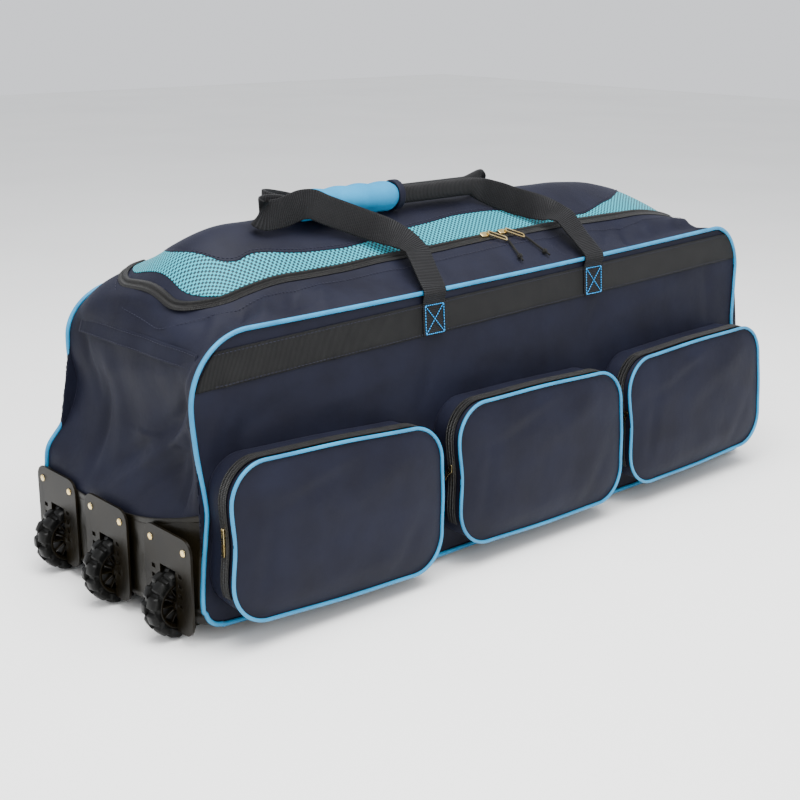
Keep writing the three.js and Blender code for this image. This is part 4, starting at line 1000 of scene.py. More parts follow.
FINISHES = {
    "navy_woven_polyester": lambda bag: woven_polyester(
        "navy_woven_polyester", bag.navy_low, bag.navy_high, bag.thread_pitch
    ),
    "turquoise_air_mesh": lambda bag: air_mesh("turquoise_air_mesh", bag.mesh, bag.mesh_hole_shade, bag.mesh_pitch),
    "light_blue_piping": lambda bag: satin_piping("light_blue_piping", bag.blue_low, bag.blue_high, 1.3),
    "light_blue_padding": lambda bag: woven_polyester(
        "light_blue_padding", bag.blue_low, bag.blue_high, bag.thread_pitch
    ),
    "handle_webbing": lambda bag: ribbed_webbing("handle_webbing", "#111113", "#19191b", bag.rib_pitch),
    "black_band": lambda bag: ribbed_webbing("black_band", "#0e0e0f", "#171717", bag.rib_pitch * 0.7),
    "black_zip_coil": lambda bag: zip_coil("black_zip_coil", "#0b0b0b", "#151413", bag.coil_pitch),
    "coated_base_cloth": lambda bag: coated_cloth("coated_base_cloth", "#070603", "#141007"),
    "moulded_abs": lambda bag: moulded_plastic("moulded_abs", "#080603", "#120e06", 0.36, 1500.0),
    "tyre_polyurethane": lambda bag: moulded_plastic("tyre_polyurethane", "#070707", "#0f0f0e", 0.38, 900.0),
    "brass_plating": lambda bag: plated_metal("brass_plating", "#d8b874", "#f1dca2", 0.2),
    "turned_axle_steel": lambda bag: plated_metal("turned_axle_steel", "#a9aaac", "#c4c4c6", 0.32),
    "black_braided_cord": lambda bag: braided_cord("black_braided_cord", "#0b0a08", "#171610"),
    "blue_thread": lambda bag: braided_cord("blue_thread", bag.thread, bag.thread),
    "dark_thread": lambda bag: braided_cord("dark_thread", "#1d1e2b", "#262736"),
    "pale_floor_paint": lambda bag: painted_floor("pale_floor_paint", "#f1f1ef", "#f6f6f4"),
}


# The stage and the cords

def build_stage(stage):
    """A level floor, a pale world, a large soft light above, weaker ones in front and the photo's camera."""
    side = np.linspace(-stage.floor * 500, stage.floor * 500, 9)
    x, y = np.meshgrid(side, side, indexing="ij")
    points = np.stack([x, y, np.zeros_like(x)], -1)
    mesh = put_mesh("floor", points, grid_faces(9, 9)[:, ::-1], points[..., :2] / 1000)
    floor = bpy.data.objects.new("floor", mesh)
    bpy.context.scene.collection.objects.link(floor)
    mesh.materials.append(finish("pale_floor_paint"))

    world = bpy.data.worlds.new("pale_studio")
    bpy.context.scene.world = world
    world.use_nodes = True
    world.node_tree.nodes["Background"].inputs["Color"].default_value = linear("#f4f6fb")
    world.node_tree.nodes["Background"].inputs["Strength"].default_value = stage.sky

    powers = (stage.top_light, stage.front_light, stage.end_light)
    for (name, place, size), power in zip(SOFTBOXES, powers):
        light = bpy.data.lights.new(name, "AREA")
        light.shape = "SQUARE"
        light.size = size
        light.energy = power
        lamp = bpy.data.objects.new(name, light)
        bpy.context.scene.collection.objects.link(lamp)
        lamp.location = place
        aim = Vector((0.0, 0.0, 0.2)) - lamp.location
        lamp.rotation_euler = aim.to_track_quat("-Z", "Y").to_euler()

    a, e = math.radians(CAMERA["azimuth"]), math.radians(CAMERA["elevation"])
    back = Vector((math.sin(a) * math.cos(e), -math.cos(a) * math.cos(e), math.sin(e)))
    level = Vector((math.cos(a), math.sin(a), 0.0))
    upright = back.cross(level)
    r = math.radians(CAMERA["roll"])
    right = level * math.cos(r) + upright * math.sin(r)
    up = upright * math.cos(r) - level * math.sin(r)
    data = bpy.data.cameras.new("photo_camera")
    data.lens = CAMERA["lens"]
    data.sensor_width = 36.0
    camera = bpy.data.objects.new("photo_camera", data)
    bpy.context.scene.collection.objects.link(camera)
    camera.matrix_world = Matrix((right, up, back)).transposed().to_4x4()
    camera.location = (np.array(CAMERA["place"]) + SHIFT) / 1000
    bpy.context.scene.camera = camera


def over_top(x, depth, above):
    """A place over the middle of the top, on the part's own folds where they stand out."""
    top = top_between(x, depth)
    along = np.abs(np.clip(x / LENGTH * 2 - 1, -1, 1) ** 5)
    raised = top + np.maximum(fold_push(x, top, depth), 0) * (1 - along) + above
    return np.stack(np.broadcast_arrays(x, mix(front_y(top), back_y(top), depth), raised), -1)


def strap_x(along):
    """X of a place along the handles, in strap spacings from the middle."""
    return LENGTH / 2 + along * STRAP["spacing"]


def slope_frame(x, depth, above):
    """The frame by the zip: along it, up the slope and out of the cloth, as columns, and its place."""
    along = np.array([1.0, 0.0, 0.0])
    up = unit(over_top(x, depth + 0.04, 0.0) - over_top(x, depth - 0.04, 0.0))
    out = np.cross(along, up)
    return np.stack([along, up, out], 1), over_top(x, depth, 0.0) + out * above


def pull_frame(pull):
    """The frame of a pull, turned on the slope and tilted a little."""
    zip_depth = (LID["front"] + ZIP_WIDTH / 2) / (DEPTH - 2 * LEAN)
    above = PULL["stand"] - WALL + PULL["height"] + 4 * FIT
    axes, place = slope_frame(strap_x(pull["along"]) + PULL["slider"] / 4, zip_depth, above)
    turn, tilt = math.radians(pull["turn"]), math.radians(PULL["tilt"])
    about_z = np.array([[math.cos(turn), -math.sin(turn), 0], [math.sin(turn), math.cos(turn), 0], [0, 0, 1]])
    about_x = np.array([[1, 0, 0], [0, math.cos(tilt), -math.sin(tilt)], [0, math.sin(tilt), math.cos(tilt)]])
    return axes @ about_z @ about_x, place


def build_pull_cords():
    """Each main pull's cord, straight from the pull's end to its knot as in the part, and the knot with
    its short tail. The knot is a ball wound with a ridge: its radius grows by a wave of angle and height."""
    for pull in PULLS:
        axes, place = pull_frame(pull)
        start = place + axes @ np.array([0, -PULL["length"] - PULL["cord"], PULL["thickness"] / 2])
        stand = (PULL["knot"] + 2 * FIT) / math.cos(math.pi / 6)
        knot = over_top(strap_x(pull["knot_along"]), pull["knot_depth"], stand)
        end = knot + unit(start - knot) * PULL["knot"] * 0.7
        path = mix(start, end, np.linspace(0, 1, 17)[:, None])
        cord = swept_piece(
            f"braided_cord_{pull['name']}", path, (1.0, 0.0, 0.0), round_section(PULL["cord"], 12),
            finish("black_braided_cord"), "black_cord", (f"pull_cord_{pull['name']}",),
        )
        down, around = np.linspace(0, math.pi, 25)[:, None], np.linspace(0, 2 * math.pi, 41)[None]
        wound = PULL["knot"] * (0.86 + 0.14 * np.cos(2 * around + 3.2 * down) ** 2)
        ball = knot + wound[..., None] * np.stack(np.broadcast_arrays(
            np.sin(down) * np.cos(around), np.sin(down) * np.sin(around), np.cos(down),
        ), -1)
        away = unit(knot - start)
        tail_path = knot + np.linspace(PULL["knot"] * 0.6, PULL["knot"] * 2.4, 6)[:, None] * away
        tail, tail_uv = swept(tail_path, (1.0, 0.0, 0.0), round_section(PULL["cord"] * 0.9, 10))
        mesh = joined_mesh(f"cord_knot_{pull['name']}", [(ball, grid_uv(ball)), (tail, tail_uv)])
        settle(mesh, True)
        tied = put_piece(
            f"cord_knot_{pull['name']}", mesh, finish("black_braided_cord"), "root",
            (f"pull_knot_{pull['name']}",),
        )


# Body, lid and zip

def build_body():
    """The gusset as a loop of the section against the depth, left open under the lid, and two big panels."""
    by_panel = np.linspace(0, 0.12, 12)[:-1]
    depth = np.concatenate([by_panel, np.linspace(0.12, 0.88, 60), 1 - by_panel[::-1]])
    x, z, nx, nz = section_loop(depth, 0.0, 1.6)
    across = np.broadcast_to(depth[None], x.shape)
    px, pz = pushed(x, z, across)
    y = mix(front_y(z) + 0.5, back_y(z) - 0.5, across)
    relief = gusset_relief(px, pz, y, across, nx, nz)
    points = np.stack([px + nx * relief, y, pz + nz * relief], -1)
    points = np.concatenate([points, points[:1]])
    inset = ZIP_WIDTH / 2 + 3

    def outside_lid(centres):
        return (lid_distance(centres[:, 0], centres[:, 1]) > -inset) | (centres[:, 2] < PANEL * 0.62)

    navy = finish("navy_woven_polyester")
    cloth_piece("gusset_cloth", points, navy, ("body_shell",), outside_lid)
    for side, share in (("front", 0.0), ("back", 1.0)):
        loop_x, loop_z, _, _ = section_loop([share], -1.2, 1.6)
        edge = np.concatenate([np.concatenate([loop_x, loop_z], 1), [[loop_x[0, 0], loop_z[0, 0]]]])
        flat = filled(edge, 330, 110, PANEL / 2)
        u, v = flat[..., 0], flat[..., 1]
        front = side == "front"
        y = panel_y(v, front, panel_relief(u, v, front))
        uv = np.stack([u, v], -1) / 1000
        cloth_piece(
            f"panel_{side}_cloth", np.stack([u, y, v], -1), navy, ("body_shell",),
            wall=1.4, uv=uv,
        )


def lines_across(x, low, high, rows):
    """A grid in plan: at each place along the lid, a line across it in even steps."""
    t = np.linspace(0, 1, rows)[None]
    return np.broadcast_to(x[:, None], (len(x), rows)), mix(low[:, None], high[:, None], t)


def lid_grid(inset, hinge, columns=110, rows=60, near=0.0):
    """A grid over the lid in plan, whose lines shorten round the lid's corners."""
    x0, x1 = LID["near"] + inset + near, LENGTH - LID["far"] - inset
    y0, y1 = LID["front"] + LEAN + inset, DEPTH - LEAN - LID["back"] - hinge
    radius = LID["corner"] - inset
    turn = (1 - np.cos(np.linspace(0, math.pi / 2, 12))) * radius
    straight = np.linspace(x0 + radius, x1 - radius, columns)[1:-1]
    x = np.concatenate([x0 + turn, straight, (x1 - turn)[::-1]])
    close = np.clip(radius - np.minimum(x - x0, x1 - x), 0, radius)
    shrink = radius - np.sqrt(radius**2 - close**2)
    return lines_across(x, y0 + shrink, y1 - shrink, rows)


def navy_outline():
    """The lid's navy centre in plan: a smooth curve through its table, the same on both sides."""
    x0, x1 = LID["near"] + ZIP_WIDTH, LENGTH - LID["far"] - ZIP_WIDTH
    y0, y1 = LID["front"] + LEAN + ZIP_WIDTH, DEPTH - LEAN - LID["back"] - 0.6
    curve = through(np.stack([NAVY_EDGE["along"], NAVY_EDGE["aside"]], -1), 10)
    along = np.maximum.accumulate(curve[:, 0])
    aside = np.clip(curve[:, 1], 0.0, 0.985) * (y1 - y0) / 2
    middle = (y0 + y1) / 2
    return mix(x0, x1, along), middle - aside, middle + aside


def build_lid():
    """Three layers over the top's surface: a navy ground, the air mesh and the navy centre, with a seam
    pressed along the centre's edge."""
    navy = finish("navy_woven_polyester")
    x, y = lid_grid(ZIP_WIDTH / 2, 0.0)
    ground = top_point(x, y, -0.9)
    cloth_piece("lid_ground_cloth", ground, navy, ("lid_panel",), wall=1.4)
    x, y = lid_grid(ZIP_WIDTH * 0.6, 1.0, 190, 90, near=11.0)
    points = top_point(x, y, 0.2)
    uv = np.stack([x, y], -1) / 1000
    cloth_piece(
        "air_mesh_cloth", points, finish("turquoise_air_mesh"), ("mesh_panel",), wall=1.0, uv=uv,
    )
    outline_x, low, high = navy_outline()
    x, y = lines_across(outline_x, low, high, 64)
    t = np.linspace(-1, 1, 64)[None]
    x_edge = np.minimum(x - x.min(), x.max() - x)
    near_edge = np.minimum((1 - np.abs(t)) * (y.max(1, keepdims=True) - y.min(1, keepdims=True)) / 2, x_edge)
    rise = 0.9 - 0.8 * np.exp(-(near_edge / 1.2) ** 2) - 0.35 * np.exp(-((near_edge - 5) / 1.6) ** 2)
    points = top_point(x, y)
    points[..., 2] += rise
    uv = np.stack([x, y], -1) / 1000
    cloth_piece("lid_centre_cloth", points, navy, ("lid_panel",), wall=0.9, uv=uv)
    inside = (outline_x > outline_x.min() + 8) & (outline_x < outline_x.max() - 8)
    seam = top_point(outline_x[inside], low[inside] + 3.2, 1.1)
    stitches("lid_centre_stitches", [(seam, (0.0, 0.0, 1.0))], finish("dark_thread"))


def zip_path(inset, steps=260):
    """The zip's line in plan: from the hinge round the near end, along the front and round the far end."""
    x0, x1 = LID["near"] + inset, LENGTH - LID["far"] - inset
    y0, y1 = LID["front"] + LEAN + inset, DEPTH - LEAN - LID["back"]
    radius = LID["corner"] - inset
    a = np.linspace(0, math.pi / 2, 24)

    def arc(cx, cy, turn):
        return np.stack([cx + radius * np.cos(a + turn), cy + radius * np.sin(a + turn)], -1)

    plan = np.concatenate([
        arc(x0 + radius, y1 - radius, math.pi / 2),
        arc(x0 + radius, y0 + radius, math.pi),
        arc(x1 - radius, y0 + radius, math.pi * 1.5),
        arc(x1 - radius, y1 - radius, 0.0),
    ])
    far = lengths_along(plan)
    at = np.linspace(0, far[-1], steps)
    return np.stack([np.interp(at, far, plan[:, k]) for k in range(2)], -1)


def zip_section(width):
    """The zip's section: a flat tape with a round ribbed coil beside its middle and a rolled inner edge."""
    v = np.linspace(-width / 2, width / 2, 37)
    top = 0.7 + 2.2 * np.exp(-np.abs((v - 3.0) / 2.1) ** 3) + 0.9 * np.exp(-(((v + 3.4) / 1.5) ** 2))
    top[[0, -1]] = 0.0
    under = np.stack([v[::-1][1:-1], np.full(len(v) - 2, -0.8)], -1)
    loop = np.concatenate([np.stack([v, top], -1), under])
    return np.concatenate([loop, loop[:1]])


def build_zip(bag):
    """The zip's section carried along its line on the top's surface, square to the surface."""
    plan = zip_path(ZIP_WIDTH / 2)
    places, normals = top_frame(plan[:, 0], plan[:, 1])
    along = unit(np.gradient(places, axis=0))
    inward = unit(np.cross(normals, along))
    inner_side = np.sign((inward[:, :2] * (np.array([LENGTH / 2, DEPTH / 2]) - plan)).sum(1).mean())
    section_points = zip_section(bag.zip_width)
    points = places[:, None] + inner_side * inward[:, None] * section_points[None, :, :1]
    points = points + normals[:, None] * (section_points[None, :, 1:] + 0.5)
    run = np.broadcast_to(lengths_along(places)[:, None], points.shape[:2])
    round_way = np.broadcast_to(section_points[None, :, 0], points.shape[:2])
    points, uv = drawn_in(points, np.stack([run, round_way], -1) / 1000)
    closed_piece("coil_zip", points, uv, finish("black_zip_coil"), "black_zip", ("main_zip",))
    plan = zip_path(-9.0)
    seam, out = top_frame(plan[:, 0], plan[:, 1])
    stitches("zip_top_stitches", [(seam + out * 0.75, (0.0, 0.0, 1.0))], finish("dark_thread"))


# Base, seams and grab handle

def base_height(y):
    """Height of the base's top edge on the wheel end: a parabola, lowest past the middle wheel."""
    away = (y / DEPTH - BASE_EDGE["lowest"]) / BASE_EDGE["lowest"]
    return BASE_EDGE["low"] + BASE_EDGE["bow"] * away * away


def build_base():
    """The coated base: the section's loop from the far lip under the bag and up the wheel end, where its
    bowed top edge follows a parabola across the end. The wheel wells are left open."""
    middles = [wheel_y(number) for number in range(1, 4)]
    inset = BASE_EDGE["inset"]
    width = DEPTH - 2 * inset
    lines = np.concatenate([[inset, DEPTH - inset]] + [[y - WELL["half"], y + WELL["half"]] for y in middles])
    y_lines = np.unique(np.concatenate([np.linspace(inset, DEPTH - inset, 64), lines]))
    out = FIT + BASE_SHEET
    depth = np.clip((y_lines - inset) / width, 0, 1)
    drum_x = -WHEEL["reach"] + math.sqrt(WELL["radius"] ** 2 - (WHEEL["radius"] - 2) ** 2)
    drum_z = WHEEL["radius"] + math.sqrt(WELL["radius"] ** 2 - 4.0**2)
    rows = []

    def row(x, z, nx, nz):
        rows.append(np.stack(np.broadcast_arrays(x + out * nx, z + out * nz), -1))

    far_foot, near_foot = far_x(CORNER, depth), near_x(CORNER, depth)
    far_low, near_low = underside(far_foot, depth) + CORNER, underside(near_foot, depth) + CORNER
    row(far_x(BASE_EDGE["far_lip"], depth), BASE_EDGE["far_lip"], 1.0, 0.0)
    for a in np.linspace(math.pi / 2, 0, 8):
        c, s = math.cos(a), math.sin(a)
        row(far_foot - CORNER + CORNER * s, far_low - CORNER * c, s, -c)
    stops = np.concatenate([np.linspace(LENGTH, drum_x, 150), np.linspace(drum_x, -18, 6)[1:]])
    for x in stops[1:-1]:
        x = np.clip(x, near_foot + CORNER, far_foot - CORNER)
        row(x, underside(x, depth), 0.0, -1.0)
    for a in np.linspace(0, math.pi / 2, 8):
        c, s = math.cos(a), math.sin(a)
        row(near_foot + CORNER - CORNER * s, near_low - CORNER * c, -s, -c)
    top = base_height(y_lines)
    for z in np.linspace(34, drum_z, 12)[1:]:
        row(near_x(z, depth), z, -1.0, 0.0)
    for t in np.linspace(0, 1, 18)[1:]:
        z = mix(drum_z, top, t)
        row(near_x(z, depth), z, -1.0, 0.0)
    flat = np.array(rows)
    x, z = flat[..., 0], flat[..., 1]
    y = mix(front_y(z) + inset, back_y(z) - inset, depth[None])
    in_end = np.clip((z - 60) / 30, 0, 1) * (x < 20)
    x = x - in_end * (slack(y * 1.6, z * 1.6, 0.8) * np.clip(np.minimum(depth, 1 - depth) * 9, 0, 1))
    points = np.stack([x, y, z], -1)

    def clear_of_wells(centres):
        by_side = np.min([np.abs(centres[:, 1] - y) for y in middles], 0)
        return (by_side > WELL["half"]) | (centres[:, 0] > drum_x) | (centres[:, 2] > drum_z)

    cloth_piece(
        "coated_base", points, finish("coated_base_cloth"), ("base_panel",), clear_of_wells,
        wall=BASE_SHEET,
    )
    edge_depth = np.linspace(0.012, 0.988, 90)
    edge_y = mix(inset, DEPTH - inset, edge_depth)
    z = base_height(edge_y)
    y = mix(front_y(z) + inset, back_y(z) - inset, edge_depth)
    bound = np.stack([near_x(z, edge_depth) - out, y, z], -1)
    lip = flat_section(1.6, 7.0, 20, 4.0)
    swept_piece("base_top_binding", bound, (-1.0, 0.0, 0.0), lip, finish("coated_base_cloth"), "coated_base")


def end_line(z, low, high, count=90, out=0.0):
    """A level line across the wheel end, on the gusset's creased cloth."""
    depth = np.linspace(low, high, count)
    z = np.broadcast_to(z, depth.shape)
    x, _ = pushed(near_x(z, depth), z, depth)
    y = mix(front_y(z), back_y(z), depth)
    nx, nz = np.full(count, -1.0), np.zeros(count)
    shoulder = section("near_shoulder", depth) * PANEL
    run = section("near_run", depth) * NEAR_RUN
    rise = np.clip((z - shoulder) / (top_between(x, depth) - shoulder), 0, 1)
    x = x + run * (1 - np.sqrt(1 - rise**2))
    relief = gusset_relief(x, z, y, depth, nx, nz)
    return np.stack([x - relief - out, y, z], -1)


def build_end_seam():
    """The strip sewn across the wheel end: a flat section along the end's own line, with its stitches."""
    line = end_line(PANEL * SEAM["height"], 0.08, 0.92, out=1.0)
    normal = unit(np.cross(unit(np.gradient(line, axis=0)), np.array([0.0, 0.0, 1.0])))
    normal = np.where(normal[:, :1] > 0, -normal, normal)
    up = np.array([0.35, 0.0, 1.0])
    strip = flat_section(SEAM["width"], SEAM["thickness"], 28, 6.0)
    navy = finish("navy_woven_polyester")
    swept_piece("end_seam_strip", line, up, strip, navy, "navy_cloth", ("end_seam",))
    rises = (-SEAM["rows"], SEAM["rows"])
    runs = [(line + unit(up) * rise + normal, (-1.0, 0.0, 0.0)) for rise in rises]
    stitches("end_seam_stitches", runs, finish("dark_thread"))


def build_end_handle():
    """The grab handle: a flat padded strap that stands off the far end between its two sewn ends."""
    depth = np.linspace(0.26, 0.74, 60)
    rise = np.sin(math.pi * np.clip((depth - 0.31) / 0.38, 0, 1)) ** 0.6
    z = PANEL * GRAB["height"]
    out = GRAB["stand"] + GRAB["bow"] * rise
    path = np.stack([far_x(z, depth) + out, depth * DEPTH, np.full(60, z)], -1)
    thick = GRAB["sewn"] + GRAB["padding"] * rise
    outline = flat_section(GRAB["width"], 1.0, 32, 5.0)
    profile = outline[None] * np.stack([np.ones(60), thick], -1)[:, None]
    swept_piece(
        "grab_handle", path, (0.0, 0.0, 1.0), profile, finish("light_blue_padding"), "blue_padding",
        ("end_handle",),
    )


# Piping, webbing and handles

def build_piping(bag):
    """Round piping in the corner between each big panel and the gusset: the section's loop moved out by
    the piping's stand along its own normal."""
    for side, share in (("front", 0.0), ("back", 1.0)):
        x, z, nx, nz = (a[:, 0] for a in section_loop([share], 0.0, 1.4))
        y = panel_y(z, side == "front", PIPING["stand"])
        path = np.stack([x + nx * PIPING["stand"], y, z + nz * PIPING["stand"]], -1)
        path = path[np.concatenate([[True], np.linalg.norm(np.diff(path, axis=0), axis=1) > 0.5])]
        path = np.concatenate([path, path[:1]])
        swept_piece(
            f"cord_piping_{side}", path, (0.0, 1.0, 0.0), round_section(bag.piping / 2, 14),
            finish("light_blue_piping"), "blue_piping", (f"piping_{side}",),
        )


def band_z(x, up):
    """Height on the wide band: it climbs to the far end, and up runs from 0 to 1 across it."""
    return BAND["foot"] + BAND["climb"] * (x / LENGTH) + up * BAND["width"]


def panel_edge_x(z, share, near):
    """Where a big panel's edge lies at a height, with its rounded top corner."""
    side = "near" if near else "far"
    shoulder = section(side + "_shoulder", share) * PANEL
    run = section(side + "_run", share) * (NEAR_RUN if near else FAR_RUN)
    straight = near_x(z, share) if near else far_x(z, share)
    top = PANEL if near else PANEL + FAR_RISE
    rise = np.clip((z - shoulder) / (top - shoulder), 0, 0.999)
    return straight + (1 if near else -1) * run * (1 - np.sqrt(1 - rise**2))


def band_places(x, z, front, gap):
    """Places on the band's line, a gap off the panel's own relief."""
    return np.stack(np.broadcast_arrays(x, panel_y(z, front, panel_relief(x, z, front) + gap), z), -1)


def build_bands():
    """The wide webbing sewn across each big panel, as a grid between the panel's piped edges, and the
    stitches along both of its edges."""
    for front in (True, False):
        side, share = ("front", 0.0) if front else ("back", 1.0)
        up = np.linspace(0, 1, 22)[None]
        z_near, z_far = band_z(0.0, up), band_z(LENGTH, up)
        start = panel_edge_x(z_near, share, True) + 1.0
        stop = panel_edge_x(z_far, share, False) - 1.0
        x = mix(start, stop, np.linspace(0, 1, 240)[:, None])
        z = band_z(x, up)
        swell = 0.5 * (1 - (2 * up - 1) ** 6)
        points = band_places(x, z, front, FIT + BAND["thickness"] * 0.6 + swell)
        uv = np.stack([x, z], -1) / 1000
        cloth_piece(
            f"panel_band_{side}", points, finish("black_band"), (f"webbing_band_{side}",),
            wall=BAND["thickness"], uv=uv,
        )
        runs = []
        for share_up in (0.07, 0.93):
            line_x = x[:, 0]
            line = band_places(line_x, band_z(line_x, share_up), front, FIT + BAND["thickness"] + 0.7)
            runs.append((line[6:-6], (0.0, -1.0 if front else 1.0, 0.0)))
        stitches(f"band_stitches_{side}", runs, finish("dark_thread"))


def strap_foot(x, front):
    """A handle's foot: up the band, then round the panel's piping."""
    over_band = 3 * FIT + BAND["thickness"] + STRAP["thickness"] / 2
    around = (PIPING["solid"] + 2 * FIT + STRAP["thickness"] / 2) / math.cos(math.pi / 8)
    stand = (PIPING["solid"] + FIT) * math.sqrt(0.5) + FIT
    top = float(top_between(x, 0.0 if front else 1.0))
    z = band_z(x, np.array([0.02, 0.5, 1.0]))
    on_band = np.stack([np.full(3, x), panel_y(z, front, over_band), z], -1)
    turn = np.radians([-15, 30, 75])
    y = panel_y(top, front, stand + around * np.cos(turn))
    over = np.stack([np.full(3, x), y, top + stand + around * np.sin(turn)], -1)
    return np.concatenate([on_band, over])


def wrap_axis():
    """The near end of the wrap's axis."""
    y = mix(front_y(PANEL), back_y(PANEL), WRAP["depth"])
    return np.array([strap_x(WRAP["along"]), float(y), PANEL + CROWN + WRAP["rise"]])


def strap_rows(rise, fall, front):
    """Every station of a handle: place, width direction and rolled share."""
    def free(rows):
        places = over_top(strap_x(rows["along"]), rows["depth"], rows["above"] * STRAP["width"])
        widths = np.stack([rows["wx"], rows["wy"], rows["wz"]], -1)
        return np.concatenate([places, widths, rows["rolled"][:, None]], 1)

    def foot(x):
        places = strap_foot(x, front)
        flat = np.tile([1.0, 0.0, 0.0, 0.0], (len(places), 1))
        return np.concatenate([places, flat], 1)

    axis = wrap_axis()
    aside = (-1 if front else 1) * (STRAP["rolled"] / 2 + 2 * FIT)
    x = np.linspace(axis[0] - WRAP["binding"] / 2, strap_x(HELD_END), 4)
    held = np.stack([x, np.full(4, axis[1] + aside), np.full(4, axis[2])], -1)
    held = np.concatenate([held, np.tile([0.0, 0.0, 1.0, 1.0], (4, 1))], 1)
    return np.concatenate([foot(strap_x(-0.5)), free(rise), held, free(fall), foot(strap_x(0.5))[::-1]])


def build_handles():
    """Both handles as webbing carried along smooth lines through the part's stations: the section blends
    from a flat one to a rolled one. Each foot has a stitched box with a cross."""
    for side, rise, fall in (("front", FRONT_RISE, FRONT_FALL), ("back", BACK_RISE, BACK_FALL)):
        front = side == "front"
        rows = rounded(strap_rows(rise, fall, front), 2.0, 5.0)
        path, widths, rolled = rows[:, :3], rows[:, 3:6], np.clip(rows[:, 6], 0, 1)
        flat = flat_section(STRAP["width"], STRAP["thickness"], 40, 9.0)
        roll = flat_section(STRAP["width"] * STRAP["share"], STRAP["rolled"], 40, 2.4)
        profile = mix(flat[None], roll[None], rolled[:, None, None])
        swept_piece(
            f"webbing_handle_{side}", path, widths, profile, finish("handle_webbing"), "black_webbing",
            (f"strap_{side}",),
        )
        runs = []
        for along in (-0.5, 0.5):
            x = strap_x(along)
            half = STRAP["width"] / 2 - 2.5
            low, high = band_z(x, 0.06), band_z(x, 0.94)
            corners = [(x - half, low), (x + half, low), (x + half, high), (x - half, high)]
            lines = [(0, 1), (1, 2), (2, 3), (3, 0), (0, 2), (1, 3)]
            over = 3 * FIT + BAND["thickness"] + STRAP["thickness"] + 0.1
            for a, b in lines:
                line = mix(np.array(corners[a]), np.array(corners[b]), np.linspace(0, 1, 8)[:, None])
                points = np.stack([line[:, 0], panel_y(line[:, 1], front, over), line[:, 1]], -1)
                runs.append((points, (0.0, -1.0 if front else 1.0, 0.0)))
        stitches(f"handle_box_stitches_{side}", runs, finish("blue_thread"), 2.9, 0.3, 0.6)


def build_wrap():
    """The padded sleeve round both handles: a tube whose radius swells with its padding and sinks in
    crosswise creases, with a flap edge along its lower side, and its bound end."""
    axis = wrap_axis()
    long_way = WRAP["length"] - WRAP["binding"] - FIT
    s = np.linspace(0, 1, 90)
    a = np.linspace(0, 2 * math.pi, 73)
    share, angle = np.meshgrid(s, a, indexing="ij")
    ends = 1 - 0.16 * (np.exp(-((share / 0.035) ** 2)) + np.exp(-(((1 - share) / 0.035) ** 2)))
    folds = 0.9 * np.cos(share * 27 + 1.9 * np.sin(angle + 1.0)) * (0.5 + 0.5 * np.cos(angle - 0.8))
    sag = 0.5 * np.cos(2 * angle + 0.6) + 0.35 * np.sin(share * 11 + angle)
    flap = 0.9 / (1 + np.exp(-(angle - 4.0) * 40)) - 0.9 * (angle / (2 * math.pi))
    radius = (WRAP["radius"] - 0.8 + folds + sag + flap) * ends

    def tube(x, reach, turn):
        return np.stack(np.broadcast_arrays(
            axis[0] + x, axis[1] + reach * np.cos(turn), axis[2] + reach * np.sin(turn),
        ), -1)

    bore = WRAP["radius"] - 6.0
    outer, inner = tube(share * long_way, radius, angle), tube(share * long_way, bore, angle)
    points = np.concatenate([outer, inner[::-1], outer[:1]])
    run = share[:, :1] * long_way
    run = np.concatenate([run, run[::-1], run[:1]])
    uv = np.stack(np.broadcast_arrays(run, angle[:1] * WRAP["radius"]), -1) / 1000
    wrap = closed_piece(
        "padded_wrap", points, uv, finish("light_blue_padding"), "blue_padding", ("handle_wrap",)
    )
    lip = np.array([[0, 0.2], [0.8, 0.9], [3, 1.0], [6, 1.0], [8.2, 0.9], [9, 0.2]])
    rim = through(lip, 4)
    turn = np.linspace(0, 2 * math.pi, 65)
    x = (WRAP["length"] - WRAP["binding"] + rim[:, 0])[:, None]
    outside = tube(x, (WRAP["radius"] - 1.6 + rim[:, 1])[:, None], turn)
    points = np.concatenate([outside, tube(x[::-1], bore + 0.2, turn), outside[:1]])
    closed_piece(
        "wrap_end_binding", points, grid_uv(points), finish("navy_woven_polyester"), "navy_cloth",
        ("wrap_binding",),
    )


# Pockets

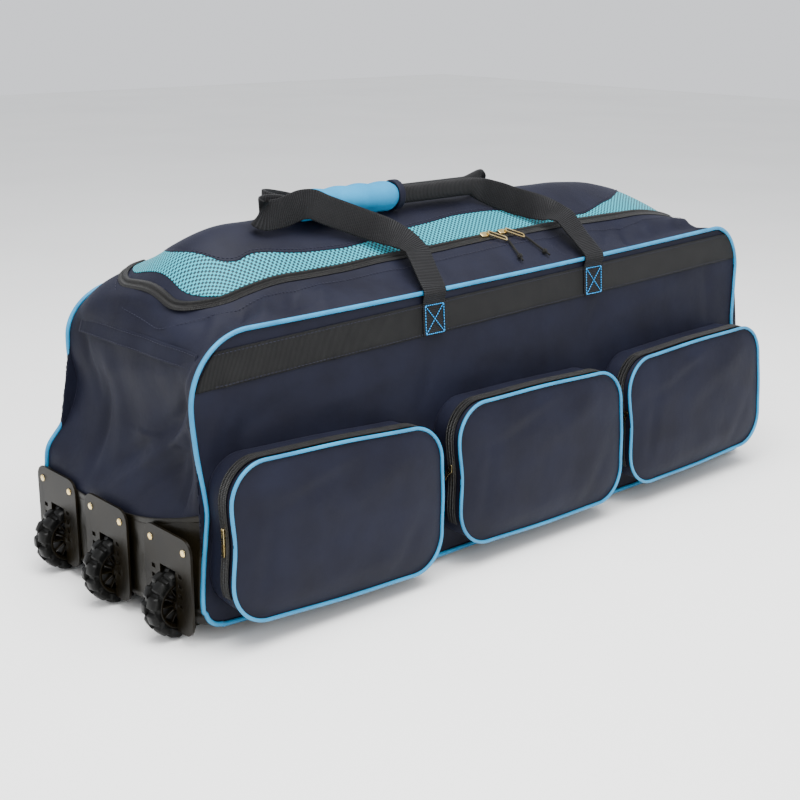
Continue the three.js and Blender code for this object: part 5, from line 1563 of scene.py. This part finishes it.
def pocket_outline(out, count=20):
    """The pocket's outline as one loop of X and Z about its middle: rounded corners, pinched sides and a
    swelling top and bottom, in even steps."""
    half_x, half_z = POCKET["width"] / 2 + out, POCKET["height"] / 2 + out
    corner = POCKET["corner"] + out
    pinch, sag = POCKET["pinch"], POCKET["sag"]
    parts = []
    arc = np.linspace(0, math.pi / 2, count)
    for turn, (sx, sz) in enumerate(((1, -1), (1, 1), (-1, 1), (-1, -1))):
        a = -math.pi / 2 + turn * math.pi / 2 + arc
        parts.append(np.stack([
            sx * (half_x - corner) + corner * np.cos(a), sz * (half_z - corner) + corner * np.sin(a),
        ], -1))
        t = np.linspace(0, 1, 26)[1:-1]
        start = parts[-1][-1]
        if turn % 2 == 0:
            end = np.array([sx * half_x, -sz * (half_z - corner)])
        else:
            end = np.array([-sx * (half_x - corner), sz * half_z])
        parts.append(mix(start, end, t[:, None]))
    loop = np.concatenate(parts)
    u, v = loop[:, 0] / half_x, loop[:, 1] / half_z
    straight_u, straight_v = half_x - corner, half_z - corner
    side = np.where(np.abs(loop[:, 1]) < straight_v, (1 + np.cos(math.pi * loop[:, 1] / straight_v)) / 2, 0)
    level = np.where(np.abs(loop[:, 0]) < straight_u, (1 + np.cos(math.pi * loop[:, 0] / straight_u)) / 2, 0)
    loop[:, 0] += np.where(u < 0, pinch * 0.5, 1.5) * side * (np.abs(u) > 0.9)
    loop[:, 1] += np.sign(v) * sag * level * (np.abs(v) > 0.9)
    loop = np.concatenate([loop, loop[:1]])
    far = lengths_along(loop)
    even = np.linspace(0, far[-1], 260)
    return np.stack([np.interp(even, far, loop[:, k]) for k in range(2)], -1)


def pocket_place(pocket, x, z, out):
    """A place on a pocket: turned with the pocket and set a distance in front of the leaning panel."""
    c, s = math.cos(math.radians(pocket["turn"])), math.sin(math.radians(pocket["turn"]))
    px = pocket["along"] * LENGTH + x * c - z * s
    pz = pocket["height"] * PANEL + x * s + z * c
    return np.stack(np.broadcast_arrays(px, front_y(pz) - out, pz), -1)


def face_height(x, z):
    """The crowned face: flat-topped by a fourth power of the share of the way out to the edge."""
    share = (np.abs(x / (POCKET["width"] / 2)) ** 5 + np.abs(z / (POCKET["height"] / 2)) ** 5) ** 0.2
    share = np.clip(share, 0, 1)
    rise = POCKET["bulge"] * (1 - share**4) + creases(POCKET_CREASES, x, z) * np.clip((1 - share) * 6, 0, 1)
    return rise, share


def build_pocket_zip(number, pocket):
    """A pocket's zip, over its top and down its sides: a tape with two ridges between rolled edges."""
    ring = pocket_outline(1.1)
    over = ring[:, 1] > -POCKET["height"] / 2 + POCKET["corner"] * 0.6
    start = int(np.argmin(np.abs(ring[:, 0]) + (ring[:, 1] > 0) * 999))
    ring, over = np.roll(ring[:-1], -start, 0), np.roll(over[:-1], -start)
    line = ring[over]
    front = POCKET["depth"] - POCKET["zip_inset"] - POCKET["zip"] / 2
    path = pocket_place(pocket, line[:, 0], line[:, 1], front)
    v = np.linspace(-POCKET["zip"] / 2, POCKET["zip"] / 2, 31)
    ridge = 0.6 + 1.1 * np.exp(-np.abs((np.abs(v) - 2.1) / 1.1) ** 2.5) + 0.8 * (np.abs(v) > 5.4)
    ridge[[0, -1]] = 0
    outline = np.concatenate([np.stack([v, ridge], -1), np.stack([v[::-1][1:], 0 * v[1:] - 0.6], -1)])
    outline = np.concatenate([outline, outline[:1]])
    out_way = unit(np.cross(np.gradient(path, axis=0), np.array([0.0, 1.0, 0.0])))
    middle = pocket_place(pocket, 0, 0, front)
    flip = np.sign(((path - middle) * out_way).sum(1).mean())
    depth_way = np.array([0.0, -1.0, 0.0])
    points = path[:, None] + outline[None, :, :1] * depth_way
    points = points + flip * out_way[:, None] * outline[None, :, 1:]
    run = np.broadcast_to(lengths_along(path)[:, None], points.shape[:2])
    uv = np.stack([run, np.broadcast_to(outline[None, :, 0], run.shape)], -1) / 1000
    closed_piece(
        f"pocket_coil_zip_{number}", *drawn_in(points, uv), finish("black_zip_coil"), "black_zip",
        (f"pocket_zip_{number}",),
    )


def build_pockets():
    """Three pockets: each a gusset between the panel and the piping, a crowned face on a grid that fills
    its outline, piping on the corner, and a zip over its top and sides."""
    navy = finish("navy_woven_polyester")
    for number, pocket in enumerate(POCKETS, 1):
        rim = pocket_outline(0.0)
        t = np.linspace(0, 1, 16)[:, None]
        depth = mix(0.6, POCKET["depth"], t)
        swell = (1.2 + 0.7 * np.sin(rim[None, :, 0] / 21 + rim[None, :, 1] / 17)) * np.sin(math.pi * t)
        flat = rim[None] + unit(rim)[None] * (swell - 1.2)[..., None]
        gusset = pocket_place(pocket, flat[..., 0], flat[..., 1], depth)
        cloth_piece(
            f"pocket_gusset_{number}", gusset, navy, wall=POCKET["wall"],
            away_from=tuple(pocket_place(pocket, 0, 0, POCKET["depth"] / 2)),
        )
        flat = filled(rim, 130, 70, 0.0)
        shift = 37 * number
        rise, share = face_height(flat[..., 0], flat[..., 1])
        ruffle = slack(flat[..., 0] + shift, flat[..., 1] - shift, 0.6) * np.clip((1 - share) * 8, 0, 1)
        height = POCKET["depth"] + rise + ruffle
        face = pocket_place(pocket, flat[..., 0], flat[..., 1], height)
        cloth_piece(
            f"pocket_face_{number}", face, navy, (f"pocket_{number}",), wall=POCKET["wall"],
            uv=flat / 1000, away_from=tuple(pocket_place(pocket, 0, 0, -60.0)),
        )
        edge = pocket_outline(POCKET["stand"])
        path = pocket_place(pocket, edge[:, 0], edge[:, 1], POCKET["depth"] + 0.8)
        swept_piece(
            f"pocket_cord_piping_{number}", path, (0.0, 1.0, 0.0), round_section(POCKET["piping"], 12),
            finish("light_blue_piping"), "blue_piping", (f"pocket_piping_{number}",),
        )
        build_pocket_zip(number, pocket)


# Metalwork and wheels

def build_metalwork():
    """Sliders, pulls and rivets: the part's own pieces, merged and with their edges rounded."""
    brass = finish("brass_plating")
    for side in ("left", "right"):
        finished_copy(f"zip_slider_{side}", f"brass_slider_{side}", brass, bevel=0.7)
        finished_copy(f"zip_pull_{side}", f"brass_pull_{side}", brass, bevel=0.4)
    for number in range(1, 4):
        finished_copy(f"pocket_slider_{number}", f"brass_pocket_pull_{number}", brass, bevel=0.5)
    for number in range(1, 7):
        finished_copy(f"rivet_{number}", f"brass_rivet_{number}", brass, bevel=0.5)
    for number in range(1, 4):
        steel = finish("turned_axle_steel")
        finished_copy(f"axle_{number}", f"steel_axle_{number}", steel, bevel=0.4)


def cutting_box(place, size):
    """A box about a place, to cut a hole with."""
    bm = bmesh.new()
    bmesh.ops.create_cube(bm, size=1.0)
    bmesh.ops.scale(bm, verts=bm.verts, vec=[s / 1000 for s in size])
    bmesh.ops.translate(bm, verts=bm.verts, vec=[(p + s) / 1000 for p, s in zip(place, SHIFT)])
    mesh = bpy.data.meshes.new("cutter")
    bm.to_mesh(mesh)
    bm.free()
    cutter = bpy.data.objects.new("cutter", mesh)
    bpy.context.scene.collection.objects.link(cutter)
    return cutter


def wheel_y(number):
    """Y of a wheel's middle."""
    return DEPTH / 2 + (number - 2) * WHEEL["pitch"]


def wheel_x(number):
    """X of a wheel's axle: the middle wheel stands out a little."""
    return -WHEEL["reach"] - (WHEEL["bow"] if number == 2 else 0.0)


def build_housings():
    """The moulded plates and wells, with small vent holes on both sides of each wheel."""
    for number in range(1, 4):
        low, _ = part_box(f"wheel_housing_{number}")
        near = 1000 * low.x - SHIFT[0]
        y = wheel_y(number)
        vents = [(y + 27.5, z) for z in (52, 63, 74)] + [(y - 23.0, z) for z in (44, 55, 66, 77)]
        finished_copy(
            f"wheel_housing_{number}", f"moulded_wheel_plate_{number}", finish("moulded_abs"),
            bevel=1.0, cutters=[cutting_box((near, *vent), VENT) for vent in vents],
        )


def lathed(profile, y, x, sides):
    """A closed profile of radius and offset along the axle, turned about the axle."""
    turn = np.linspace(0, 2 * math.pi, sides + 1)
    radius, offset = np.asarray(profile, float).T
    radius, offset = radius[:, None], offset[:, None]
    return np.stack(np.broadcast_arrays(
        x + radius * np.cos(turn), y + offset, WHEEL["radius"] + radius * np.sin(turn),
    ), -1)


def build_tyre(number):
    """A tyre, whose tread is two rows of lugs, half a lug apart: its radius steps by a steep wave of the
    angle on either side of a groove, and its walls sink between the lugs."""
    x, y, half = wheel_x(number), wheel_y(number), WHEEL["width"] / 2
    turn = np.linspace(0, 2 * math.pi, 12 * TREAD["lugs"] + 1)
    across = np.array([12, 12.6, 13.2, 12.6, 10.4, 9.4, 1.6, 1.3])
    across = np.concatenate([-across, across[::-1]])
    dome = WHEEL["radius"] - 0.3 - TREAD["crown"] * (across / half) ** 4
    dome[:3] = dome[:-4:-1] = np.array([0.4, 3.6, 6.6]) + WHEEL["hub"]
    across = across[:, None]
    row = np.sign(across) * math.pi / 2
    wave = np.clip(0.5 + 4.5 * (0.55 + np.sin(turn[None] * TREAD["lugs"] + row)), 0, 1)
    off_groove = np.clip((np.abs(across) - TREAD["groove"]) * 8, 0, 1)
    cut = TREAD["depth"] * (1 - wave * off_groove)
    cut[:3] = cut[-3:] = 0
    radius = dome[:, None] - cut
    sunk = np.where(np.abs(across) > 12.1, TREAD["wall"] * (1 - wave), 0)
    aside = across - np.sign(across) * sunk
    points = np.stack([x + radius * np.cos(turn), y + aside, WHEEL["radius"] + radius * np.sin(turn)], -1)
    inner = lathed([(WHEEL["hub"] + 0.3, half)], y, x, 12 * TREAD["lugs"])
    points = np.concatenate([points, inner, points[:1]])
    tyre = closed_piece(
        f"lugged_tyre_{number}", points, grid_uv(points), finish("tyre_polyurethane"), "tyre_rubber",
        (f"tyre_{number}",), f"wheel_{number}",
    )
    edges = tyre.modifiers.new("Edges", "BEVEL")
    edges.width = 0.0004
    edges.segments = 2
    edges.limit_method = "ANGLE"


def build_hub(number):
    """A hub: a rim, a boss round the axle and thin spokes between them."""
    x, y, half = wheel_x(number), wheel_y(number), WHEEL["width"] / 2
    rim, boss, hole = WHEEL["hub"], 8.5, WHEEL["axle"] + 0.3
    blocks = []
    for profile in (
        [(rim - 3.4, -half + 1.5), (rim - 0.4, -half + 0.6), (rim, -half + 1.2), (rim, half - 1.2),
         (rim - 0.4, half - 0.6), (rim - 3.4, half - 1.5), (rim - 4.2, half - 4), (rim - 4.2, -half + 4),
         (rim - 3.4, -half + 1.5)],
        [(hole, -half + 0.8), (boss - 1, -half + 0.8), (boss, -half + 1.8), (boss, half - 1.8),
         (boss - 1, half - 0.8), (hole, half - 0.8), (hole, -half + 0.8)],
    ):
        points = lathed(profile, y, x, 56)
        blocks.append((points, grid_uv(points)))
    blade = flat_section(half * 1.3, 2.0, 16, 5.0)
    for a in np.linspace(0, 2 * math.pi, 13)[:-1]:
        ends = np.array([boss - 1.2, rim - 3.6])
        path = np.stack([x + ends * math.cos(a), [y, y], WHEEL["radius"] + ends * math.sin(a)], -1)
        path = mix(path[:1], path[1:], np.linspace(0, 1, 5)[:, None])
        blocks.append(swept(path, (0.0, 1.0, 0.0), blade))
    mesh = joined_mesh(f"spoked_hub_{number}", blocks)
    settle(mesh, True)
    put_piece(
        f"spoked_hub_{number}", mesh, finish("moulded_abs"), f"wheel_{number}",
        (f"hub_{number}",),
    )


def build_wheels():
    """The three wheels, each on its own body of the part."""
    for number in range(1, 4):
        build_tyre(number)
        build_hub(number)


# The add-on: sizes and colours that can be changed, an operator for each group of pieces, and a panel

def colour(name, description, default):
    """A colour as an sRGB hex string, so that it reads as the eye sees it."""
    return bpy.props.StringProperty(name=name, description=description, default=default)


def length(name, description, default):
    """A length in millimetres: no unit, because Blender would read it as metres."""
    return bpy.props.FloatProperty(name=name, description=description, default=default, min=0.1, precision=2)


class KitBagSizes(bpy.types.PropertyGroup):
    """Sizes and colours of the bag's cloth and trimmings."""

    navy_low: colour("Navy, dark", "Deepest shade of the navy cloth", "#0c0d19")
    navy_high: colour("Navy, light", "Lightest shade of the navy cloth", "#121422")
    mesh: colour("Mesh", "Colour of the air mesh", "#0b93a4")
    # The mesh holes' colour: the dark cloth behind them, with painted shade down in the holes.
    mesh_hole_shade: colour("Mesh holes", "Colour seen through the mesh's holes", "#03202b")
    blue_low: colour("Light blue, dark", "Deepest shade of the light blue trimmings", "#136a94")
    blue_high: colour("Light blue, light", "Lightest shade of the light blue trimmings", "#1c80ac")
    thread: colour("Box stitches", "Colour of the thread in the handles' box stitches", "#2486c4")
    thread_pitch: length("Thread pitch (mm)", "Distance between the woven cloth's threads", 1.1)
    mesh_pitch: length("Mesh pitch (mm)", "Distance between the mesh's holes", 4.2)
    rib_pitch: length("Rib pitch (mm)", "Distance between the webbing's ribs", 2.3)
    coil_pitch: length("Coil pitch (mm)", "Distance between the zip's teeth", 1.6)
    zip_width: length("Zip width (mm)", "Width of the main zip's tape", 13.0)
    piping: length("Piping (mm)", "Thickness of the big panels' piping", 5.2)


class KitBagStage(bpy.types.PropertyGroup):
    """The studio round the bag."""

    floor: bpy.props.FloatProperty(name="Floor", description="Side of the floor", default=14.0, unit="LENGTH")
    sky: bpy.props.FloatProperty(name="Sky", description="Strength of the pale world", default=1.15, min=0)
    top_light: bpy.props.FloatProperty(
        name="Top light", description="Power of the soft light above", default=130.0, min=0, unit="POWER"
    )
    front_light: bpy.props.FloatProperty(
        name="Front light", description="Power of the light in front", default=22.0, min=0, unit="POWER"
    )
    end_light: bpy.props.FloatProperty(
        name="End light", description="Power of the light by the wheels", default=9.0, min=0, unit="POWER"
    )


class KITBAG_OT_stage(bpy.types.Operator):
    """Add the floor, the lights and the camera"""
    bl_idname = "kitbag.stage"
    bl_label = "Stage"

    def execute(self, context):
        build_stage(context.scene.kit_bag_stage)
        return {"FINISHED"}


class KITBAG_OT_cords(bpy.types.Operator):
    """Add the zip pulls' cords and their knots"""
    bl_idname = "kitbag.cords"
    bl_label = "Pull cords"

    def execute(self, context):
        build_pull_cords()
        return {"FINISHED"}


class KITBAG_OT_body(bpy.types.Operator):
    """Add the cloth of the body"""
    bl_idname = "kitbag.body"
    bl_label = "Body"

    def execute(self, context):
        build_body()
        build_end_seam()
        return {"FINISHED"}


class KITBAG_OT_base(bpy.types.Operator):
    """Add the coated base"""
    bl_idname = "kitbag.base"
    bl_label = "Base"

    def execute(self, context):
        build_base()
        return {"FINISHED"}


class KITBAG_OT_lid(bpy.types.Operator):
    """Add the lid, its air mesh and the main zip"""
    bl_idname = "kitbag.lid"
    bl_label = "Lid and zip"

    def execute(self, context):
        build_lid()
        build_zip(context.scene.kit_bag)
        return {"FINISHED"}


class KITBAG_OT_piping(bpy.types.Operator):
    """Add the piping of the big panels"""
    bl_idname = "kitbag.piping"
    bl_label = "Piping"

    def execute(self, context):
        build_piping(context.scene.kit_bag)
        return {"FINISHED"}


class KITBAG_OT_handles(bpy.types.Operator):
    """Add the bands, both handles, their padded wrap and the grab handle"""
    bl_idname = "kitbag.handles"
    bl_label = "Bands and handles"

    def execute(self, context):
        build_bands()
        build_handles()
        build_wrap()
        build_end_handle()
        return {"FINISHED"}


class KITBAG_OT_pockets(bpy.types.Operator):
    """Add the three front pockets"""
    bl_idname = "kitbag.pockets"
    bl_label = "Pockets"

    def execute(self, context):
        build_pockets()
        return {"FINISHED"}


class KITBAG_OT_metalwork(bpy.types.Operator):
    """Add the zip sliders, pulls, rivets and axles"""
    bl_idname = "kitbag.metalwork"
    bl_label = "Metalwork"

    def execute(self, context):
        build_metalwork()
        return {"FINISHED"}


class KITBAG_OT_wheels(bpy.types.Operator):
    """Add the wheels and their moulded plates"""
    bl_idname = "kitbag.wheels"
    bl_label = "Wheels"

    def execute(self, context):
        build_housings()
        build_wheels()
        return {"FINISHED"}


OPERATORS = (
    KITBAG_OT_stage, KITBAG_OT_cords, KITBAG_OT_body, KITBAG_OT_base, KITBAG_OT_lid, KITBAG_OT_piping,
    KITBAG_OT_handles, KITBAG_OT_pockets, KITBAG_OT_metalwork, KITBAG_OT_wheels,
)


class KITBAG_PT_panel(bpy.types.Panel):
    """The bag's sizes and the steps that build it"""
    bl_label = "Kit Bag"
    bl_idname = "KITBAG_PT_panel"
    bl_space_type = "VIEW_3D"
    bl_region_type = "UI"
    bl_category = "Kit Bag"

    def draw(self, context):
        for group in (context.scene.kit_bag, context.scene.kit_bag_stage):
            box = self.layout.box()
            for name in group.__annotations__:
                box.prop(group, name)
        for operator in OPERATORS:
            self.layout.operator(operator.bl_idname)


CLASSES = (KitBagSizes, KitBagStage) + OPERATORS + (KITBAG_PT_panel,)


def register():
    """Adds the add-on's classes and its two property groups."""
    for made in CLASSES:
        bpy.utils.register_class(made)
    bpy.types.Scene.kit_bag = bpy.props.PointerProperty(type=KitBagSizes)
    bpy.types.Scene.kit_bag_stage = bpy.props.PointerProperty(type=KitBagStage)


def unregister():
    """Takes away what register added."""
    del bpy.types.Scene.kit_bag_stage
    del bpy.types.Scene.kit_bag
    for made in reversed(CLASSES):
        bpy.utils.unregister_class(made)


def main():
    register()
    for operator in OPERATORS:
        category, name = operator.bl_idname.split(".")
        getattr(getattr(bpy.ops, category), name)()


if __name__ == "__main__":
    main()
